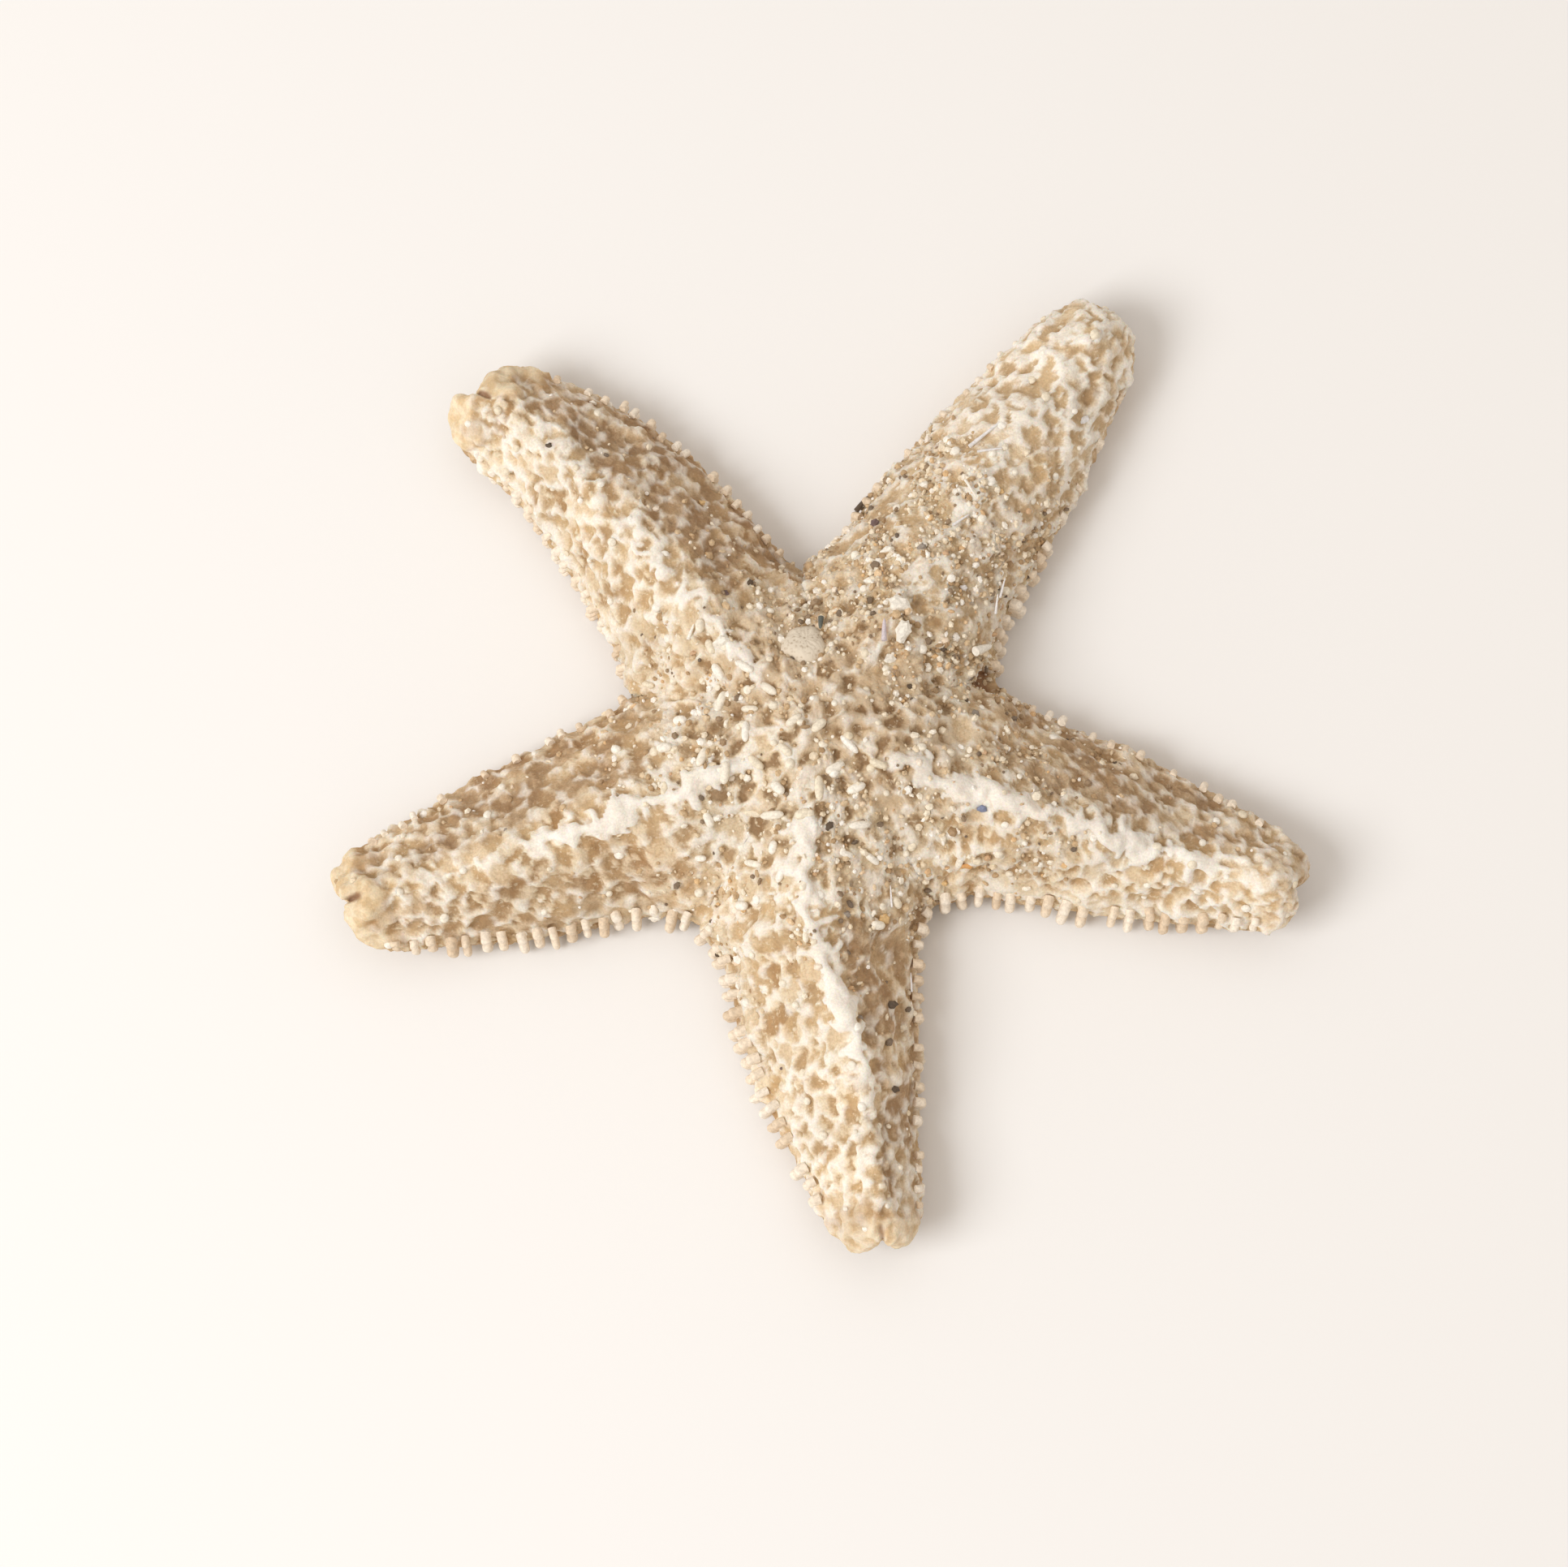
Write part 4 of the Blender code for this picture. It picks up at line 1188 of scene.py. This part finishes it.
strayBits = {
    # plan place from the middle of the disc, size along three ways, heading in degrees, colour by name
    "grains": (
        (-7.6, 11.7, 0.42, 0.36, 0.34, 20.0, "plum"), (-5.7, 12.9, 0.35, 0.30, 0.30, 60.0, "dark"),
        (11.2, 8.4, 0.55, 0.42, 0.40, 10.0, "grey"), (10.2, 7.4, 0.40, 0.34, 0.30, 80.0, "dark"),
        (12.8, 2.2, 0.60, 0.46, 0.42, 40.0, "grey"), (12.0, 3.2, 0.36, 0.30, 0.30, 0.0, "dark"),
        (20.5, 0.7, 0.32, 0.26, 0.24, 15.0, "dark"), (0.8, -7.8, 0.48, 0.34, 0.32, 70.0, "dark"),
        (5.8, -21.6, 0.40, 0.62, 0.34, 80.0, "dark"), (3.4, -23.0, 0.30, 0.34, 0.28, 30.0, "grey"),
        (6.1, -28.4, 0.34, 0.44, 0.30, 45.0, "dark"), (-22.3, 24.8, 0.36, 0.30, 0.28, 0.0, "dark"),
        (13.3, -6.1, 0.50, 0.44, 0.40, 25.0, "blue"), (12.2, -10.3, 0.74, 0.36, 0.30, -10.0, "orange"),
        (7.5, 4.0, 0.34, 0.34, 0.30, 0.0, "dark"), (17.4, 14.6, 0.46, 0.34, 0.32, 55.0, "dark"),
        (8.6, 15.6, 0.50, 0.40, 0.36, 30.0, "grey"), (4.6, 18.4, 0.52, 0.40, 0.36, 70.0, "plum"),
        (-3.0, -26.6, 0.24, 0.26, 0.22, 0.0, "plum"), (-8.9, -18.2, 0.24, 0.30, 0.22, 0.0, "dark"),
        (24.6, -1.2, 0.24, 0.22, 0.20, 0.0, "dark"), (-25.6, -7.4, 0.22, 0.30, 0.20, 30.0, "grey"),
        (6.6, 10.6, 0.85, 1.05, 0.60, 70.0, "white"), (10.0, 5.6, 0.40, 0.36, 0.34, 0.0, "white"),
        (6.8, 8.3, 1.15, 0.70, 0.56, 80.0, "white"), (5.8, 6.1, 0.66, 0.56, 0.46, 40.0, "white"),
        (-7.8, 7.4, 0.95, 1.00, 0.56, 20.0, "white"), (4.2, 12.9, 0.60, 0.70, 0.44, 0.0, "white"),
        (5.7, 15.4, 0.78, 0.62, 0.40, 20.0, "white"), (22.2, 27.6, 0.72, 0.44, 0.26, 35.0, "pearl"),
        (-13.4, -14.0, 0.66, 0.36, 0.30, 12.0, "white"), (10.5, -11.4, 0.40, 0.30, 0.30, 0.0, "amber"),
        (2.4, -14.6, 0.42, 0.36, 0.34, 0.0, "grey"), (5.4, -14.8, 0.62, 0.52, 0.42, 40.0, "amber"),
        (-9.6, 20.4, 0.36, 0.44, 0.28, 0.0, "amber"), (15.0, 20.6, 0.40, 0.34, 0.32, 0.0, "amber"),
        (12.0, 12.6, 0.44, 0.36, 0.32, 0.0, "pearl"), (-2.6, 16.2, 0.40, 0.34, 0.30, 0.0, "grey"),
    ),
    # plan place, half thickness, length, heading in degrees, colour by name
    "slivers": (
        (0.3, 9.1, 0.24, 1.20, -86.0, "teal"), (5.3, 8.4, 0.24, 1.90, 88.0, "lilac"),
        (4.0, 20.8, 0.24, 1.60, 65.0, "dark"), (13.9, 25.4, 0.17, 3.40, 42.0, "pearl"),
        (14.2, 24.0, 0.10, 2.20, 8.0, "pearl"), (14.5, 11.6, 0.11, 1.70, 112.0, "pearl"),
        (14.9, 13.2, 0.11, 1.70, 96.0, "pearl"), (5.6, -13.0, 0.09, 1.80, 108.0, "pearl"),
        (7.2, -19.6, 0.09, 1.60, 96.0, "pearl"), (-10.4, 8.6, 0.16, 1.40, 60.0, "white"),
        (12.6, 20.4, 0.13, 1.90, -60.0, "white"), (11.6, 17.8, 0.12, 1.70, 35.0, "pearl"),
        (13.2, 7.9, 0.42, 1.90, 4.0, "white"),
    ),
    "sink": 0.2, "size": 0.84, "lift": 0.28,
}
strayTones = (
    ("dark", (98, 84, 70)), ("plum", (122, 102, 100)), ("teal", (104, 108, 102)), ("grey", (158, 148, 138)),
    ("blue", (134, 142, 168)), ("orange", (226, 172, 112)), ("amber", (224, 190, 138)),
    ("lilac", (214, 204, 210)), ("pearl", (238, 236, 236)), ("white", (244, 239, 228)),
)


def strayMaterial():
    steps = len(strayTones)
    stops = [(number / steps, colour) for number, (_, colour) in enumerate(strayTones)]
    look = {"stops": stops, "roughness": 0.6, "grain": 4600.0, "depth": 0.00005}
    made = tonedMaterial("strayGrit", look)
    for node in made.node_tree.nodes:
        if node.type == "VALTORGB":
            node.color_ramp.interpolation = "CONSTANT"
    return made


def strayShade(name):
    names = [tone for tone, _ in strayTones]
    return (names.index(name) + 0.5) / len(names)


class backFinder:
    # the skin's surface under a plan place measured from the middle of the disc
    def __init__(self, places, normals):
        self.high = np.flatnonzero(normals[:, 2] > 0.05)
        self.places = places
        self.normals = normals
        self.tree = treeOf([(x, y, 0.0) for x, y in places[self.high, :2]])

    def under(self, x, y):
        vertex = self.high[self.tree.find((*atDisc(x, y), 0.0))[1]]
        return self.places[vertex], self.normals[vertex] / np.linalg.norm(self.normals[vertex])


def alongSkin(normal, heading):
    # a direction with this heading in plan, laid along the skin
    flat = np.array([*polar(1.0, heading), 0.0])
    flat -= normal * (flat @ normal)
    return flat / np.linalg.norm(flat)


def growStrayGrains(finder, material):
    spots = []
    for x, y, length, width, thick, heading, tone in strayBits["grains"]:
        place, normal = finder.under(x, y)
        place = place + normal * (thick * 0.5 - strayBits["sink"])
        stretch = np.multiply((width, thick, length), strayBits["size"])
        spots.append((place, alongSkin(normal, heading), stretch, strayShade(tone)))
    sizes = {"Radius": 1.0 * mm, "Roughness": 0.42 * mm}
    return growThings("strayGrains", sizes, growKit.pebble, spots, material, False)


def growSlivers(finder, material):
    spots = []
    for x, y, thick, length, heading, tone in strayBits["slivers"]:
        place, normal = finder.under(x, y)
        aim = alongSkin(normal, heading)
        place = place + normal * (thick + strayBits["lift"]) - aim * length * 0.5
        spots.append((place, aim, (thick, thick, length), strayShade(tone)))
    return growThings("slivers", pegSizes(1.0, 1.0, 0.35, 6.0), growKit.peg, spots, material)


# the underside: spines folded over each groove, dried tube feet in it, and the jaws round the mouth

underside = {
    "spinePitch": 0.95, "spineRadius": 0.24, "spineLength": 1.25,
    "footPitch": 1.05, "footRadius": 0.42, "footRow": 0.36,
    "jawLength": 1.5, "jawRadius": 0.30, "start": 4.2, "stop": 4.5, "seed": 41,
}


def grooveHalf(arm, along):
    return min(body["grooveHalfWidth"], 0.4 * halfWidth(arm, along))


def grooveStations(arm, pitch, short=0.0):
    return np.arange(underside["start"], arm["reach"] - underside["stop"] - short, pitch)


def growGrooveSpines(material):
    rng = np.random.default_rng(underside["seed"])
    spots = []
    for arm in arms:
        for side in (1.0, -1.0):
            for along in grooveStations(arm, underside["spinePitch"]):
                s = along + rng.uniform(-0.12, 0.12)
                half = grooveHalf(arm, s)
                d = centreLine(arm, s) + side * (half + 0.15)
                place = toStar(arm, s, d, 0.42 + float(tipLift(arm, s)) + rng.uniform(0.0, 0.15))
                out = (rng.uniform(-0.3, 0.3), -side)
                aim = turnedOut(arm, out, math.radians(rng.uniform(-4.0, 16.0)))
                girth = rng.uniform(0.8, 1.15)
                length = underside["spineLength"] * rng.uniform(0.75, 1.05) * half / 1.6
                spots.append((place, aim, (girth, girth, length)))
    for pit in armpits:       # the jaws stand between one groove and the next
        for fan in (-14.0, -5.0, 5.0, 14.0):
            x, y = atDisc(*polar(body["mouthRadius"] * 0.62, pit["azimuth"] + fan))
            place = (x, y, 0.75 + rng.uniform(0.0, 0.2))
            aim = (*polar(-1.0, pit["azimuth"] + fan * 0.4), rng.uniform(0.1, 0.5))
            girth = underside["jawRadius"] / underside["spineRadius"]
            spots.append((place, aim, (girth, girth, underside["jawLength"] * rng.uniform(0.8, 1.1))))
    sizes = pegSizes(1.0, underside["spineRadius"], 0.3, 5.0)
    return growThings("grooveSpines", sizes, growKit.peg, spots, material)


def growTubeFeet(material):
    rng = np.random.default_rng(underside["seed"] + 1)
    spots = []
    for arm in arms:
        for along in grooveStations(arm, underside["footPitch"], 1.0):
            for side in (1.0, -1.0):
                s = along + rng.uniform(-0.2, 0.2) + (0.5 if side > 0 else 0.0) * underside["footPitch"]
                half = grooveHalf(arm, s)
                d = centreLine(arm, s) + side * half * underside["footRow"] + rng.normal(0.0, 0.05)
                up = 1.45 * half / 1.6 + float(tipLift(arm, s)) + rng.uniform(-0.2, 0.2)
                aim = (rng.normal(0.0, 0.3), rng.normal(0.0, 0.3), -1.0)
                girth = half / 1.6 * rng.uniform(0.75, 1.1)
                spots.append((toStar(arm, s, d, up), aim, (girth, girth, girth * 1.5)))
    return growThings("tubeFeet", {"Radius": underside["footRadius"] * mm}, growKit.knob, spots, material)


# floor, light and camera

stage = {
    "floorSize": 2.4, "floorDrop": 0.0002, "floorTone": (0.90, 0.90, 0.90, 1.0),
    "floorRoughness": 0.95, "floorShine": 0.1, "skyStrength": 0.62, "skyTone": (1.0, 0.90, 0.80, 1.0),
    "keyPower": 2.84, "keyAzimuth": 205.0, "keyHeight": 48.0, "keySize": 0.35, "keyDistance": 0.7,
    "fillPower": 0.3, "fillAzimuth": 80.0, "fillHeight": 72.0, "fillSize": 0.6,
    "elevation": 80.0, "distance": 0.36, "lens": 100.0, "sensor": 36.0,
    "aim": (-2.85, -2.9, 4.0),       # from the middle of the disc, in millimetres
}


def buildStage():
    half = stage["floorSize"] / 2.0
    corners = [(-half, -half, 0.0), (half, -half, 0.0), (half, half, 0.0), (-half, half, 0.0)]
    plane = meshObject("floor", np.array(corners) / mm, [(0, 1, 2, 3)])
    plane.location = (0.0, 0.0, -stage["floorDrop"])
    paper, _, shader, _ = newMaterial("palePaper", stage["floorRoughness"])
    shader.inputs["Base Color"].default_value = stage["floorTone"]
    shader.inputs["Specular IOR Level"].default_value = stage["floorShine"]
    plane.data.materials.append(paper)


def aimAt(thing, target):
    heading = Vector(target) - thing.location
    thing.rotation_euler = heading.to_track_quat("-Z", "Y").to_euler()


def softLight(name, kind, centre):
    data = bpy.data.lights.new(name, "AREA")
    data.energy = stage[kind + "Power"]
    data.size = stage[kind + "Size"]
    light = placedObject(name, data)
    rise = math.radians(stage[kind + "Height"])
    x, y = polar(stage["keyDistance"] * math.cos(rise), stage[kind + "Azimuth"])
    light.location = (centre[0] + x, centre[1] + y, centre[2] + stage["keyDistance"] * math.sin(rise))
    aimAt(light, centre)


def buildLights(centre):
    world = bpy.data.worlds.new("softRoom")
    world.use_nodes = True
    sky = world.node_tree.nodes["Background"]
    sky.inputs["Color"].default_value = stage["skyTone"]
    sky.inputs["Strength"].default_value = stage["skyStrength"]
    bpy.context.scene.world = world
    softLight("keyLight", "key", centre)
    softLight("topLight", "fill", centre)
    bpy.context.scene.view_settings.view_transform = "Standard"


def buildCamera(centre):
    data = bpy.data.cameras.new("camera")
    data.lens = stage["lens"]
    data.sensor_width = stage["sensor"]
    data.dof.use_dof = False
    data.clip_start = 0.01
    camera = placedObject("camera", data)
    aim = Vector(centre) + Vector(stage["aim"]) * mm
    rise = math.radians(stage["elevation"])
    camera.location = aim + Vector((0.0, -math.cos(rise), math.sin(rise))) * stage["distance"]
    aimAt(camera, aim)
    bpy.context.scene.camera = camera


def main():
    points, polygons, tags = buildBodyMesh()
    normals = vertexNormals(points, polygons)
    radius = fromDisc(points)
    seat, seatNormal = sieveSeat(points, normals)
    moved, looks = skinRelief(points, normals, tags)
    bodySkin = meshObject("bodySkin", moved, polygons, looks)
    bodySkin.data.materials.append(skinMaterial())
    print("skin", len(polygons), "faces")
    spineChalk = tonedMaterial("spineChalk", chalkLook)
    rodChalk = tonedMaterial("rodChalk", rodLook)
    sand = tonedMaterial("beachSand", sandLook)
    pieces = [growMarginSpines(row, spineChalk) for row in marginSpines["rows"]]
    pieces.append(growBackRods(moved, normals, looks, radius, rodChalk))
    pieces.append(growBackKnobs(moved, normals, looks, rodChalk))
    pieces += [growSand(kind, bodySkin, sand) for kind in sandKinds]
    finder = backFinder(moved, normals)
    stray = strayMaterial()
    pieces.append(growStrayGrains(finder, stray))
    pieces.append(growSlivers(finder, stray))
    pieces.append(growGrooveSpines(spineChalk))
    pieces.append(growTubeFeet(tonedMaterial("driedFoot", footLook)))
    sievePoints, sieveFaces = buildSieve(seat, seatNormal)
    pieces.append(meshObject("sievePlate", sievePoints, sieveFaces))
    pieces[-1].data.materials.append(sieveMaterial())
    print("sievePlate", len(sieveFaces), "faces")
    low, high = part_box("starfish")
    middle = [(a + b) / 2.0 for a, b in zip(low, high)]
    centre = (middle[0] + body["discOffset"][0] * mm, middle[1] + body["discOffset"][1] * mm, low[2])
    buildStage()
    buildLights(centre)
    buildCamera(centre)
    print("floor, lights and camera are set")
    for piece in [bodySkin, *pieces]:
        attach(piece, "root")
    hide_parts("starfish")
    print(len(pieces) + 1, "pieces ride on the body")


main()
